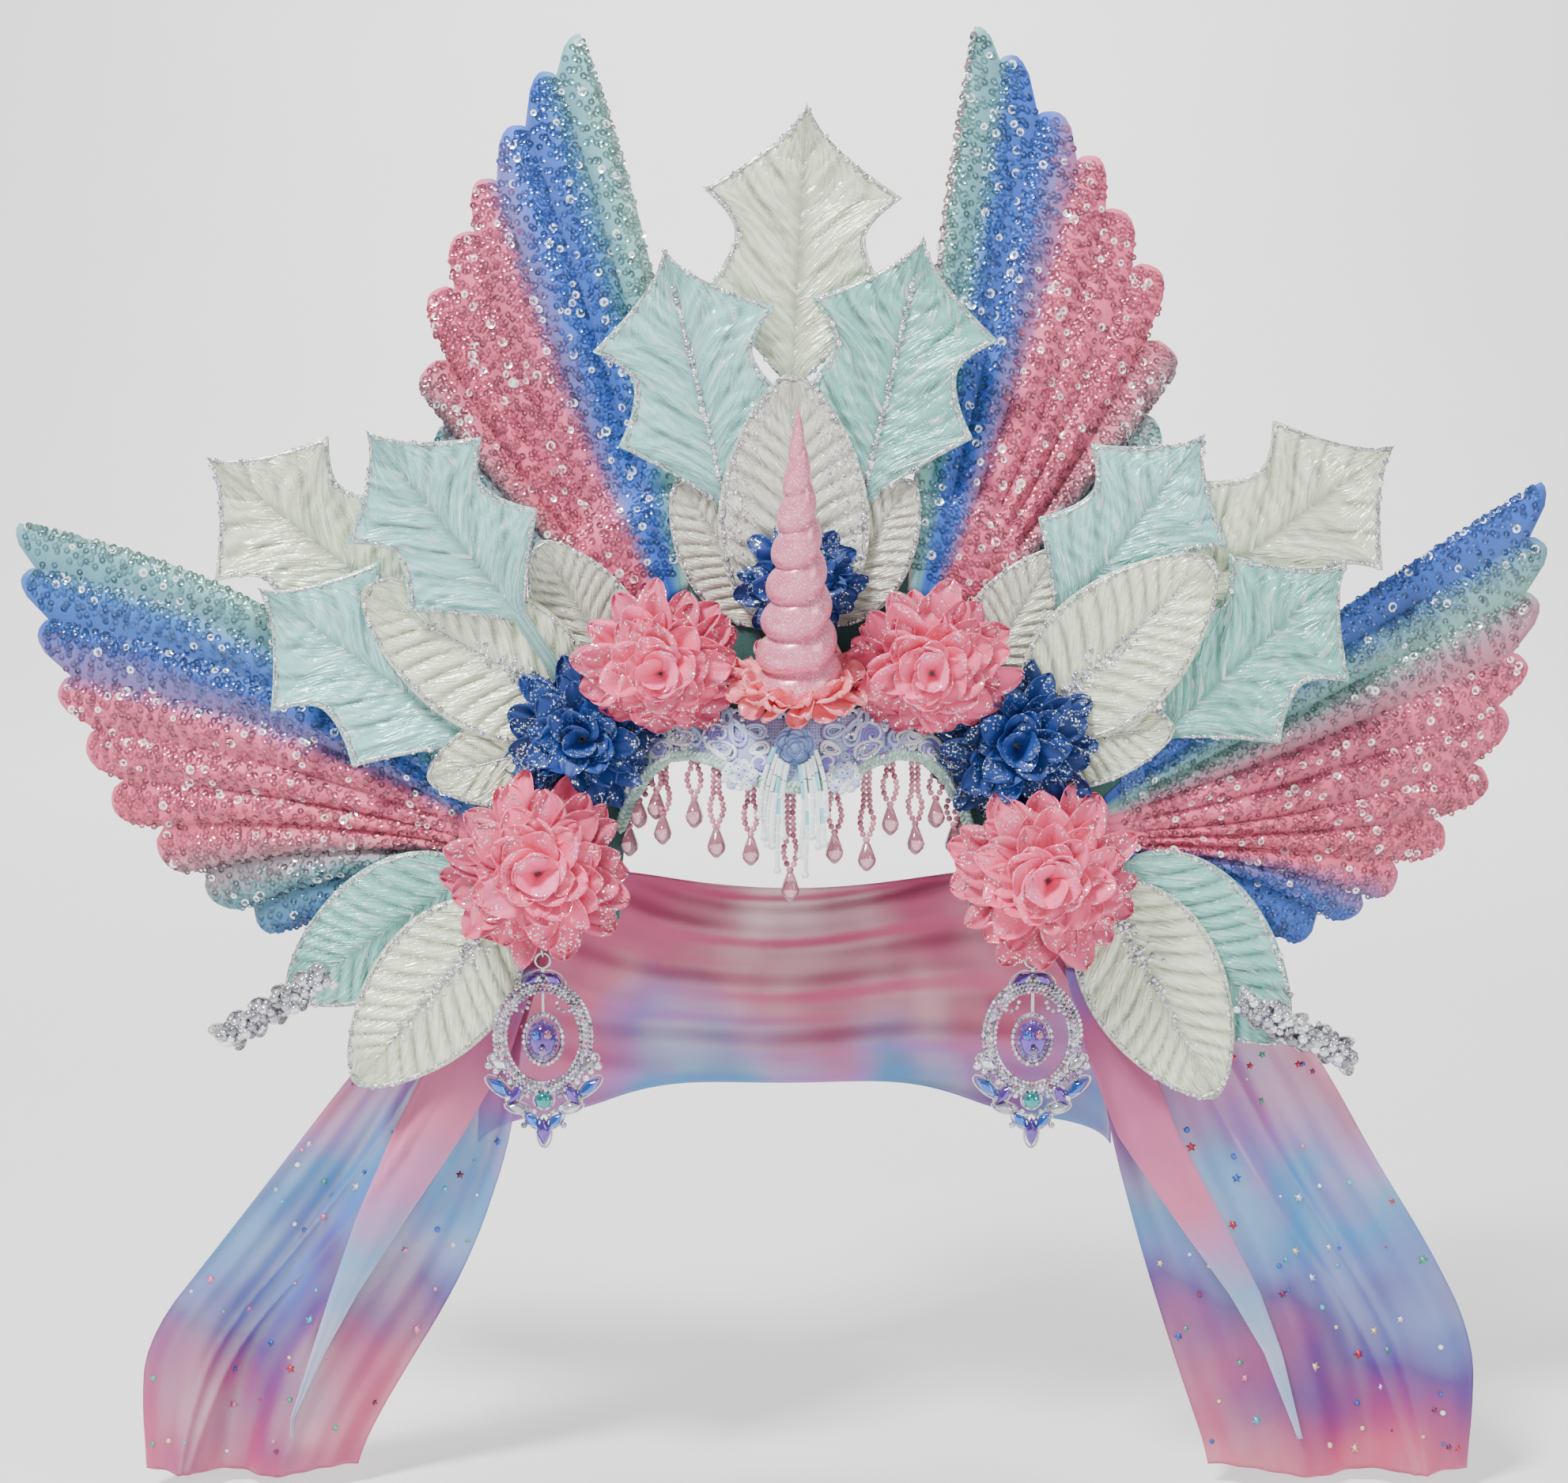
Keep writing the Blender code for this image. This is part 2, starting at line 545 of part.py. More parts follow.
def horn():
    rows = HORN_TURNS * HORN_ROWS_PER_TURN
    rings = []
    for row in range(rows):
        share = row / rows
        points = []
        for s in range(HORN_SIDES):
            turn = s / HORN_SIDES
            swell = math.sqrt(abs(math.sin(math.pi * ((share * HORN_TURNS - turn) % 1.0))))
            radius = HORN_RADIUS * (1 - share) ** 0.85 * (1 - HORN_GROOVE * (1 - swell))
            angle = 2 * math.pi * turn
            points.append((radius * math.cos(angle), radius * math.sin(angle), HORN_LENGTH * share))
        rings.append(points)
    rings.append([(0.0, 0.0, HORN_LENGTH)])
    lathe("spiral_horn", rings, "horn", horn_place())


def horn_ruffle():
    sides = RUFFLE_PLEATS * 2
    profile = ((RUFFLE_INNER, -1.0, 0.0), (RUFFLE_INNER + 0.5, 4.5, 0.0), (RUFFLE_OUTER, 2.5, 2.6),
               (RUFFLE_OUTER - 1.5, 0.5, 2.6), (RUFFLE_INNER + 0.5, -3.0, 0.0))
    points, faces = [], []
    for s in range(sides):
        angle = 2 * math.pi * s / sides
        wave = 1 if s % 2 else -1
        for radius, height, cut in profile:
            points.append(((radius + cut * wave) * math.cos(angle), (radius + cut * wave) * math.sin(angle),
                           height + 0.4 * cut * wave))
    ring = len(profile)
    for s in range(sides):
        for k in range(ring):
            a, b = s * ring, (s + 1) % sides * ring
            faces.append((a + k, a + (k + 1) % ring, b + (k + 1) % ring, b + k))
    solid("horn_ruffle", points, faces, "pink", horn_place())


# Brow lace, rose, fringe and tassel

def brow_rows():
    """The brow table from left to right."""
    left = [Brow(-row.x, row.top, row.foot) for row in reversed(BROW[1:])]
    return left + list(BROW)


def brow_slab(name, out, thick, shares, edges, finish):
    """A curved strip round the forehead between two edges, each a function of a brow row."""
    grids = []
    for reach in (out + thick, out):
        grid = []
        for share in shares:
            line = []
            for row in brow_rows():
                top, foot = edges(row)
                z = top + (foot - top) * share
                line.append((row.x, brow_y(row.x, z, reach), z))
            grid.append(line)
        grids.append(grid)
    return slab(name, grids[0], grids[1], finish)


def brow_lace():
    brow_slab("brow_lace", LACE_OUT, LACE_THICK, (0.0, 0.5, 1.0), lambda row: (row.top, row.foot), "lace")


def turned_string(name, top, foot, profile, sides, finish):
    """A string of round section from top to foot: profile gives the distance from the foot and the radius."""
    top, foot = Vector(top), Vector(foot)
    along = (top - foot).normalized()
    sideways = along.cross(Vector((0, 0, 1) if abs(along.y) > 0.9 else (0, 1, 0))).normalized()
    forward = along.cross(sideways)
    rings = []
    for distance, radius in profile:
        centre = foot + along * distance
        if radius == 0:
            rings.append([tuple(centre)])
            continue
        rings.append([tuple(centre + (sideways * math.cos(a) + forward * math.sin(a)) * radius)
                      for a in (2 * math.pi * s / sides for s in range(sides))])
    return lathe(name, rings, finish)


def header_z(x):
    """The height of the lace's lower edge at x."""
    rows = brow_rows()
    for left, right in zip(rows, rows[1:]):
        if left.x <= x <= right.x:
            return left.foot + (right.foot - left.foot) * (x - left.x) / (right.x - left.x)
    return rows[0].foot


def bead_fringe():
    header = brow_slab("bead_fringe", HEADER_OUT, HEADER_THICK, (0.0, 1.0),
                       lambda row: (row.foot + HEADER_HEIGHT, row.foot), "crystal")
    strings = []
    for number, drop in enumerate(DROPS):
        hem = header_z(drop.x) + 1.5
        top = (drop.x, brow_y(drop.x, hem, HEADER_OUT + HEADER_THICK / 2), hem)
        foot = (drop.x, min(drop.y, top[1]), drop.foot)
        length = math.dist(top, foot)
        profile = ((0, 0), (DROP_LENGTH * 0.28, DROP_RADIUS), (DROP_LENGTH * 0.72, DROP_RADIUS * 0.55),
                   (DROP_LENGTH, CHAIN_RADIUS), (length, CHAIN_RADIUS))
        strings.append(turned_string(f"string_{number}", top, foot, profile, DROP_SIDES, "crystal"))
    join_by_union(header, strings)


def rose():
    x, y, z = ROSE_CENTRE
    sides = 10
    rings = [[(x, y - ROSE_DEPTH, z)]]
    for radius, height, cut in ((0.35, 1.0, 0.1), (0.4, 0.8, 0.0), (0.7, 0.85, 0.1), (0.72, 0.5, 0.0), (1.0, 0.4, 0.08), (0.8, 0.0, 0.0)):
        rings.append([(x + ROSE_RADIUS * radius * (1 + cut * (-1) ** s) * math.cos(2 * math.pi * s / sides),
                       y - ROSE_DEPTH * height,
                       z + ROSE_RADIUS * radius * (1 + cut * (-1) ** s) * math.sin(2 * math.pi * s / sides))
                      for s in range(sides)])
    lathe("brow_rose", rings, "resin")


def bugle_tassel():
    """White bugle bead strings, sewn to one bar under the rose."""
    bar_x = TASSEL[-1].top + 1.5
    bar = [[(x, y, TASSEL_TOP_Z + high) for x in (-bar_x, 0.0, bar_x)] for high in (3.0, 0.0) for y in (TASSEL_Y - 0.8,)]
    back = [[(x, y, TASSEL_TOP_Z + high) for x in (-bar_x, 0.0, bar_x)] for high in (3.0, 0.0) for y in (TASSEL_Y + 0.8,)]
    header = slab("bugle_tassel", bar, back, "white_bead")
    strings = []
    for number, strand in enumerate(TASSEL):
        top = (strand.top, TASSEL_Y, TASSEL_TOP_Z + 1.0)
        foot = (strand.foot, TASSEL_Y, TASSEL_TOP_Z - strand.length)
        length = math.dist(top, foot)
        profile = ((0, BUGLE_RADIUS), (length, BUGLE_RADIUS))
        strings.append(turned_string(f"bugle_{number}", top, foot, profile, 5, "white_bead"))
    join_by_union(header, strings)


# Pendants

def ring_solid(name, centre, normal_axis, finish):
    """A wire ring whose plane is square to the named axis."""
    around, section = 10, 4
    points, faces = [], []
    for i in range(around):
        angle = 2 * math.pi * i / around
        for k in range(section):
            turn = 2 * math.pi * k / section
            reach = RING_RADIUS + RING_WIRE * math.cos(turn)
            a, b, c = reach * math.cos(angle), reach * math.sin(angle), RING_WIRE * math.sin(turn)
            offset = (c, a, b) if normal_axis == "X" else (a, c, b)
            points.append(tuple(p + q for p, q in zip(centre, offset)))
    for i in range(around):
        for k in range(section):
            a, b = i * section, (i + 1) % around * section
            faces.append((a + k, a + (k + 1) % section, b + (k + 1) % section, b + k))
    return solid(name, points, faces, finish)


def hook(name, x):
    """A fixed ring under the lower flower, on a wire that runs up to the crest."""
    loop = ring_solid(name, (x, PENDANT_Y, PIVOT_Z + RING_RADIUS), "X", "wire")
    ring_top = PIVOT_Z + 2 * RING_RADIUS - 0.2
    arm = turned_string(name + "_arm", (x, PENDANT_Y, HOOK_TOP_Z), (x, PENDANT_Y, ring_top),
                        ((0, HOOK_WIRE), (HOOK_TOP_Z - ring_top, HOOK_WIRE)), 6, "wire")
    front, back = PENDANT_Y - HOOK_WIRE, CREST_FRONT_Y - SEAT_GAP
    rail = turned_string(name + "_rail", (x, back, HOOK_TOP_Z - 0.1), (x, front, HOOK_TOP_Z - 0.1),
                         ((0, HOOK_WIRE + 0.1), (back - front, HOOK_WIRE + 0.1)), 6, "wire")
    join_by_union(loop, [arm, rail])


def stone_solid(name, x, z, half_length, half_width, turn_deg, y):
    """A cut stone in its setting: a table, a crown of facets and a flat back."""
    turn = math.radians(turn_deg)
    along, across = (math.sin(turn), math.cos(turn)), (math.cos(turn), -math.sin(turn))
    rings = []
    levels = ((1.0, STONE_BACK), (STONE_TABLE, -STONE_CROWN))
    for size, depth in levels:
        ring = []
        for s in range(STONE_SIDES):
            angle = 2 * math.pi * s / STONE_SIDES
            narrow = half_width * size * math.sin(angle) * (0.75 + 0.25 * abs(math.sin(angle)))
            long = half_length * size * math.cos(angle)
            ring.append((x + along[0] * long + across[0] * narrow, y + depth,
                         z + along[1] * long + across[1] * narrow))
        rings.append(ring)
    return lathe(name, rings, "rhinestone")


def oval_frame(name, x, y, z):
    """The pavé oval, flat behind and domed in front."""
    around = 16
    profile = ((OVAL_BAND / 2, OVAL_THICK / 2), (OVAL_BAND / 2, -OVAL_THICK * 0.2), (0.0, -OVAL_THICK / 2 - 0.6),
               (-OVAL_BAND / 2, -OVAL_THICK * 0.2), (-OVAL_BAND / 2, OVAL_THICK / 2))
    points, faces = [], []
    for i in range(around):
        angle = 2 * math.pi * i / around
        for out, depth in profile:
            points.append((x + (OVAL_HALF_WIDTH + out) * math.sin(angle), y + depth,
                           z + (OVAL_HALF_HEIGHT + out) * math.cos(angle)))
    ring = len(profile)
    for i in range(around):
        for k in range(ring):
            a, b = i * ring, (i + 1) % around * ring
            faces.append((a + k, a + (k + 1) % ring, b + (k + 1) % ring, b + k))
    return solid(name, points, faces, "rhinestone")


def pendant(name, x):
    """The hanging jewel: bail, pavé oval with a pear drop inside, and marquise stones below."""
    frame = oval_frame(name, x, PENDANT_Y, PIVOT_Z + OVAL_CENTRE_Z)
    bail_z = PIVOT_Z + RING_WIRE * 2 + SEAT_GAP - RING_RADIUS
    bail = ring_solid(name + "_bail", (x, PENDANT_Y, bail_z), "Y", "rhinestone")
    low = bail_z - RING_RADIUS
    oval_top = PIVOT_Z + OVAL_CENTRE_Z + OVAL_HALF_HEIGHT
    neck = turned_string(name + "_neck", (x, PENDANT_Y, low + 0.4), (x, PENDANT_Y, oval_top),
                         ((0, 1.3), (low + 0.4 - oval_top, 1.0)), 6, "rhinestone")
    others = [bail, neck]
    for number, stone in enumerate(STONES):
        others.append(stone_solid(f"{name}_stone_{number}", x + stone.x, PIVOT_Z + stone.z, stone.half_length,
                                  stone.half_width, stone.turn, PENDANT_Y))
    pear_z = PIVOT_Z + PEAR_CENTRE_Z
    others.append(stone_solid(name + "_pear", x, pear_z, PEAR_HALF_HEIGHT, PEAR_HALF_WIDTH, 0, PENDANT_Y))
    others.append(turned_string(name + "_link", (x, PENDANT_Y, oval_top - 1.0),
                                (x, PENDANT_Y, pear_z + PEAR_HALF_HEIGHT - 1.5),
                                ((0, 0.8), (oval_top - 1.0 - pear_z - PEAR_HALF_HEIGHT + 1.5, 0.8)), 6, "rhinestone"))
    join_by_union(frame, others)


# Crystal sprays

def spray_body(spray):
    """A tapering cluster of crystals, as one knobbly rod."""
    root = Vector((spray.root[0], spray.y, spray.root[1]))
    tip = Vector((spray.tip[0], spray.y, spray.tip[1]))
    length = (tip - root).length
    steps = 9
    profile = [(0, 0)]
    for i in range(1, steps):
        share = i / steps
        swell = math.sin(math.pi * share ** 0.8) ** 0.5
        profile.append((length * share, spray.radius * swell * (0.88 if i % 2 else 1.0)))
    profile.append((length, 0))
    turned_string(spray.name, tip, root, profile, 8, "rhinestone")


# Tulle scarf

def tail(name, rows):
    """A tail of the scarf, gathered behind the lower flower and opening downwards in soft folds."""
    front, back = [], []
    for row in rows:
        front_row, back_row = [], []
        for c in range(TAIL_COLUMNS + 1):
            share = c / TAIL_COLUMNS
            x = row.outer + (row.inner - row.outer) * share
            y = row.y + row.fold * math.sin(2 * math.pi * TAIL_FOLDS * share)
            front_row.append((x, y - VEIL_THICK / 2, row.z))
            back_row.append((x, y + VEIL_THICK / 2, row.z))
        front.append(front_row)
        back.append(back_row)
    slab(name, front, back, "tulle")


def swag():
    """The middle of the scarf, which hangs behind the neck from one side of the band to the other."""
    outside, inside = [], []
    for r in range(SWAG_ROWS + 1):
        drop = r / SWAG_ROWS
        half = SWAG_TOP_HALF_WIDTH + (SWAG_FOOT_HALF_WIDTH - SWAG_TOP_HALF_WIDTH) * math.sin(drop * math.pi / 2)
        z = SWAG_TOP_Z + (SWAG_FOOT_Z - SWAG_TOP_Z) * drop
        outer_row, inner_row = [], []
        for c in range(SWAG_COLUMNS + 1):
            angle = math.pi * c / SWAG_COLUMNS
            wave = 2.0 * drop * math.sin(angle * 9)
            sag = 16.0 * (1 - drop) * math.sin(angle)
            for line, reach in ((outer_row, VEIL_THICK), (inner_row, 0.0)):
                line.append(((half + wave + reach) * math.cos(angle),
                             SWAG_START_Y + (SWAG_TOP_DEPTH + wave + reach) * math.sin(angle), z - sag))
        outside.append(outer_row)
        inside.append(inner_row)
    slab("scarf_swag", outside, inside, "tulle")


def main():
    clear_scene()
    head_band()
    crest()
    brow_panel()
    for wing in WINGS:
        wing_body(wing)
    for leaf in LEAVES:
        leaf_body(leaf)
    for flower in FLOWERS:
        flower_body(flower)
    horn()
    horn_ruffle()
    brow_lace()
    bead_fringe()
    rose()
    bugle_tassel()
    for side, x in zip(("left", "right"), PENDANT_X):
        hook(f"pendant_hook_{side}", x)
        pendant(f"pendant_{side}", x)
    for spray in SPRAYS:
        spray_body(spray)
    tail("scarf_tail_left", TAIL_LEFT)
    tail("scarf_tail_right", TAIL_RIGHT)
    swag()


main()
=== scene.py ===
"""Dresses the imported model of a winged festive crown, a kokoshnik, as cloth, sequins, beads and stones.

Run it as a script in Blender. Every table is in millimetres in the model's frame: x to the viewer's
right, y away from the viewer, z up from the crown of the head."""

import json
import math
import random
from collections import namedtuple

import bmesh
import bpy
import numpy as np
from bpy.props import FloatProperty, FloatVectorProperty, IntProperty, PointerProperty
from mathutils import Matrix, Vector


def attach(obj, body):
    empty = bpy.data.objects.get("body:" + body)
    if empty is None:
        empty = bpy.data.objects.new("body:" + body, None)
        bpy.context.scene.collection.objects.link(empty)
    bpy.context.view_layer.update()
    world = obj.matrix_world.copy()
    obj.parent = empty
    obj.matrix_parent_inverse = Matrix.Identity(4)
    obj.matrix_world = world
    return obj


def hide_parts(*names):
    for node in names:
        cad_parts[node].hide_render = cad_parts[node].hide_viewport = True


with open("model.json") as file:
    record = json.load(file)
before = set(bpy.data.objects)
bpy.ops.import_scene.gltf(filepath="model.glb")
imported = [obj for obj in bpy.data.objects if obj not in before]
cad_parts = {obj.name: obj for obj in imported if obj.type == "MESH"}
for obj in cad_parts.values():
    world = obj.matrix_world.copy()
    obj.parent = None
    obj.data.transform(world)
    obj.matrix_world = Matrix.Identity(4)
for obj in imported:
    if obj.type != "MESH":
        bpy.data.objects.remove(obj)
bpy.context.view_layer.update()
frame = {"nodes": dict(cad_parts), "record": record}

bl_info = {
    "name": "Winged festive crown",
    "version": (1, 0, 0),
    "blender": (4, 5, 0),
    "location": "View3D > Sidebar > Crown",
    "description": "Models the cloth, sequins, beads and stones of a winged crown round its packed solids",
    "category": "Object",
}

MM = 0.001
HOME_BODY = "crown"

# Felt base and the layers on it, as the solids have them
HEAD_HALF_WIDTH, HEAD_FRONT_DEPTH, HEAD_HEIGHT = 80.0, 65.0, 112.0
CREST_FRONT_Y, CREST_BACK_Y = -21.0, -18.5
SEAT_GAP = 0.3
LEAF_THICK, LEAF_FIRST_Y, LEAF_STEP, LEAF_LEAN_STEP = 0.9, -20.3, 1.6, 0.03
LEAF_FLAT_RADIUS, STEM_STOP, STEM_HALF_WIDTH = 25.0, 9.0, 3.0
WING_ROOT_THICK, WING_EDGE_THICK, WING_PUFF, WING_LEAN = 3.0, 1.6, 5.5, 0.10
WING_FRONT_SHARE = 0.72
NOTCH_SIDEWAYS, NOTCH_INWARD = 0.37, 0.34

CREST_HALF_WIDTH, CREST_HALF_HEIGHT, CREST_CENTRE_Z = 142.0, 130.0, -60.0

# dyes are the cloth's colours across the wing, from the leading edge at 0 to the trailing edge at 1
Wing = namedtuple("Wing", "name root_lead root_trail bend_lead bend_mid bend_trail tips dyes")
WINGS = (
    Wing("wing_upper_left", (-45, 25), (-73, 7), (-47, 146), (-110, 88), (-124, 44),
         ((-92, 262), (-108, 246), (-121, 223), (-135, 200), (-144, 177), (-156, 152), (-161, 116), (-155,
                                                                                                     86)),
         ((0.0, "C3DAD6"), (0.10, "9CCBCB"), (0.17, "6FA8D4"), (0.22, "4A84D2"), (0.33, "5C8FDE"), (0.38,
                                                                                                    "A79BCF"),
          (0.43, "E88FAC"), (0.75, "F08CA6"), (0.84, "CBA6B0"), (0.91, "83AEB4"), (1.0, "6C9FAA"))),
    Wing("wing_upper_right", (48, 25), (78, 7), (54, 143), (110, 88), (124, 44),
         ((77, 265), (93, 253), (111, 229), (129, 210), (140, 187), (156, 162), (164, 125), (158, 88)),
         ((0.0, "DFC2CB"), (0.05, "A9D0CC"), (0.14, "8FC0CB"), (0.20, "4E88D2"), (0.30, "5A8CDC"), (0.35,
                                                                                                    "AB9CCF"),
          (0.40, "EE90AC"), (0.74, "F08FA9"), (0.84, "D3B4BD"), (0.92, "A5CBCB"), (1.0, "8FBDBF"))),
    Wing("wing_side_left", (-138, -65), (-132, -99), (-194, 26), (-223, -58), (-176, -102),
         ((-338, 53), (-337, 30), (-330, 7), (-322, -20), (-310, -44), (-299, -70), (-277, -94),
          (-253, -113), (-229, -126)),
         ((0.0, "B5D8D2"), (0.10, "93C3CC"), (0.17, "5E97D6"), (0.27, "4C82CC"), (0.33, "A498CC"), (0.38,
                                                                                                    "EB8EAA"),
          (0.68, "F08CA6"), (0.76, "C9A9B2"), (0.84, "8DB9BE"), (0.92, "6D9FC4"), (1.0, "4680CC"))),
    Wing("wing_side_right", (133, -64), (136, -94), (189, -10), (219, -80), (181, -94),
         ((325, 71), (327, 44), (324, 20), (320, -8), (312, -31), (304, -60), (285, -87),
          (262, -107), (246, -118), (219, -130)),
         ((0.0, "5F8FD8"), (0.09, "5588D4"), (0.14, "8DB6CE"), (0.20, "AACECA"), (0.27, "CBAEBB"), (0.33,
                                                                                                    "EE90AB"),
          (0.72, "F08CA6"), (0.80, "AE9ACD"), (0.86, "4F86D2"), (1.0, "4A80CC"))),
)

Leaf = namedtuple("Leaf", "name cut base tip hub layer fold dye rib")
TOP_HUB, CREST_TOP, LEFT_HUB, RIGHT_HUB = (0, 20), (0, 48), (-88, -30), (92, -32)
LOW_LEFT_HUB, LOW_RIGHT_HUB = (-110, -95), (108, -95)
LEAVES = (
    Leaf("holly_top", "holly", (-1, 112), (5, 229), CREST_TOP, 1, 1.0, "cream", "plain"),
    Leaf("holly_mint_left", "holly", (-29, 62), (-55, 169), TOP_HUB, 2, 1.4, "aqua", "beaded"),
    Leaf("holly_mint_right", "holly", (29, 64), (54, 174), TOP_HUB, 2, 1.4, "mint", "beaded"),
    Leaf("oval_centre", "oval", (0, 6), (-1, 117), TOP_HUB, 3, 1.0, "silver", "frosted"),
    Leaf("oval_horn_left", "oval", (-8, 12), (-50, 72), TOP_HUB, 1, 0.6, "silver", "plain"),
    Leaf("oval_horn_right", "oval", (10, 12), (50, 72), TOP_HUB, 1, 0.6, "silver", "plain"),
    Leaf("holly_cream_left", "holly", (-163, 13), (-249, 82), LEFT_HUB, 1, 1.0, "cream", "plain"),
    Leaf("holly_aqua_left", "holly", (-116, 14), (-178, 93), LEFT_HUB, 5.4, 1.4, "aqua", "plain"),
    Leaf("holly_mint_low_left", "holly", (-138, -39), (-228, 27), LEFT_HUB, 2, 1.0, "aqua", "plain"),
    Leaf("oval_cream_left", "oval", (-88, -28), (-182, 26), LEFT_HUB, 3.9, 0.4, "cream", "clustered"),
    Leaf("oval_low_left", "oval", (-79, -36), (-157, -55), LEFT_HUB, 3, 0.8, "cream", "clustered"),
    Leaf("oval_silver_left", "oval", (-70, -20), (-109, 46), LEFT_HUB, 1, 0.8, "silver", "plain"),
    Leaf("holly_cream_right", "holly", (165, 20), (254, 87), RIGHT_HUB, 1, 1.0, "cream", "plain"),
    Leaf("holly_aqua_right", "holly", (113, 10), (173, 92), RIGHT_HUB, 2, 1.0, "aqua", "plain"),
    Leaf("holly_mint_low_right", "holly", (158, -36), (234, 37), RIGHT_HUB, 2, 1.0, "mint", "plain"),
    Leaf("oval_cream_right", "oval", (102, -32), (176, 39), RIGHT_HUB, 4, 1.4, "cream", "clustered"),
    Leaf("oval_low_right", "oval", (88, -42), (162, -33), RIGHT_HUB, 3, 0.8, "cream", "clustered"),
    Leaf("oval_silver_right", "oval", (76, -18), (112, 42), RIGHT_HUB, 1, 0.8, "silver", "plain"),
    Leaf("leaf_aqua_foot_left", "oval", (-138, -97), (-219, -150), LOW_LEFT_HUB, 1, 0.8, "mint", "plain"),
    Leaf("leaf_silver_foot_left", "oval", (-124, -112), (-190, -188), LOW_LEFT_HUB, 2, 1.0, "cream",
         "clustered"),
    Leaf("leaf_aqua_foot_right", "oval", (143, -92), (212, -170), LOW_RIGHT_HUB, 1, 0.8, "mint", "plain"),
    Leaf("leaf_cream_foot_right", "oval", (133, -102), (182, -194), LOW_RIGHT_HUB, 2, 1.0, "cream",
         "clustered"),
)
SATIN_DYES = {"cream": "DEE8C8", "mint": "7FC4BA", "aqua": "98D8D6", "silver": "D6D6C4"}

Flower = namedtuple("Flower", "name centre radius back_y depth dye")
FLOWERS = (
    Flower("flower_pink_upper_left", (-56, -8), 36, -40.8, 20, "pink"),
    Flower("flower_pink_upper_right", (57, -8), 36, -40.8, 20, "pink"),
    Flower("flower_blue_left", (-90, -37), 33, -29.6, 15, "blue"),
    Flower("flower_blue_right", (94, -40), 34, -29.6, 15, "blue"),
    Flower("flower_blue_centre", (2, 29), 26, -29.6, 7, "blue"),
    Flower("flower_pink_lower_left", (-108, -92), 39, -40.8, 20, "pink"),
    Flower("flower_pink_lower_right", (106, -95), 39, -40.8, 20, "pink"),
)
# Tiers of petals from the back to the eye: count, length and width as shares of the radius, lift and curl in degrees
Tier = namedtuple("Tier", "count length width lift curl start")
PINK_TIERS = (
    Tier(15, 0.96, 0.40, 2, 4, 0.10), Tier(14, 0.87, 0.42, 10, 4, 0.08), Tier(13, 0.76, 0.43, 19, 4, 0.06),
    Tier(11, 0.64, 0.43, 29, 4, 0.05), Tier(9, 0.52, 0.42, 40, 4, 0.03), Tier(6, 0.40, 0.40, 52, 4, 0.02),
)
BLUE_TIERS = (
    Tier(13, 0.98, 0.38, 2, 4, 0.10), Tier(12, 0.86, 0.40, 12, 4, 0.08), Tier(11, 0.72, 0.40, 24, 4, 0.06),
    Tier(9, 0.58, 0.40, 37, 4, 0.04), Tier(6, 0.42, 0.38, 52, 4, 0.02),
)
# How long the downward petals of the flowers over the brow lace are, against their others
UPPER_FLOWER_LOW_PETALS = 0.72

HORN_FOOT, HORN_LENGTH, HORN_RADIUS = (1.0, -49.5, -13.5), 124.0, 19.2
HORN_LEAN_DEG, HORN_TURNS, HORN_GROOVE = 22.0, 8, 0.36

Brow = namedtuple("Brow", "x top foot")
BROW = (
    Brow(0, -27, -55), Brow(12, -27, -54), Brow(24, -26, -49), Brow(34, -25, -45),
    Brow(44, -29, -43), Brow(54, -34, -45), Brow(63, -43, -53), Brow(71, -56, -66), Brow(75, -68, -77),
)
Drop = namedtuple("Drop", "x y foot")
DROPS = (
    Drop(-71, -28, -88), Drop(-66.5, -34, -75), Drop(-59, -36, -71), Drop(-56, -41, -81), Drop(-42.5, -48,
                                                                                               -73),
    Drop(-33, -53, -85), Drop(-18.5, -58, -87.5), Drop(-2, -61, -102), Drop(16.5, -59, -86.5), Drop(30, -54,
                                                                                                    -90.5),
    Drop(40, -49, -76), Drop(51, -43, -85), Drop(60, -37, -74.5), Drop(68, -31, -87), Drop(71.5, -27, -84),
)
ROSE_CENTRE, ROSE_RADIUS = (0.0, -57.3, -38.0), 8.6
Strand = namedtuple("Strand", "top foot length")
TASSEL = (
    Strand(-7.6, -14.8, 21), Strand(-6.8, -13.0, 30), Strand(-5.6, -11.6, 33), Strand(-4.8, -9.4, 34),
    Strand(-3.6, -7.4, 44), Strand(-2.6, -4.6, 30), Strand(1.6, 2.0, 38), Strand(2.8, 4.2, 46),
    Strand(4.2, 7.2, 30), Strand(5.4, 9.6, 34), Strand(6.4, 12.2, 33), Strand(7.4, 13.2, 21),
)
TASSEL_Y, TASSEL_TOP_Z = -64.6, -44.0

PENDANT_Y, PIVOT_Z = -34.0, -131.0
PENDANTS = (("pendant_left", -108.0), ("pendant_right", 102.0))
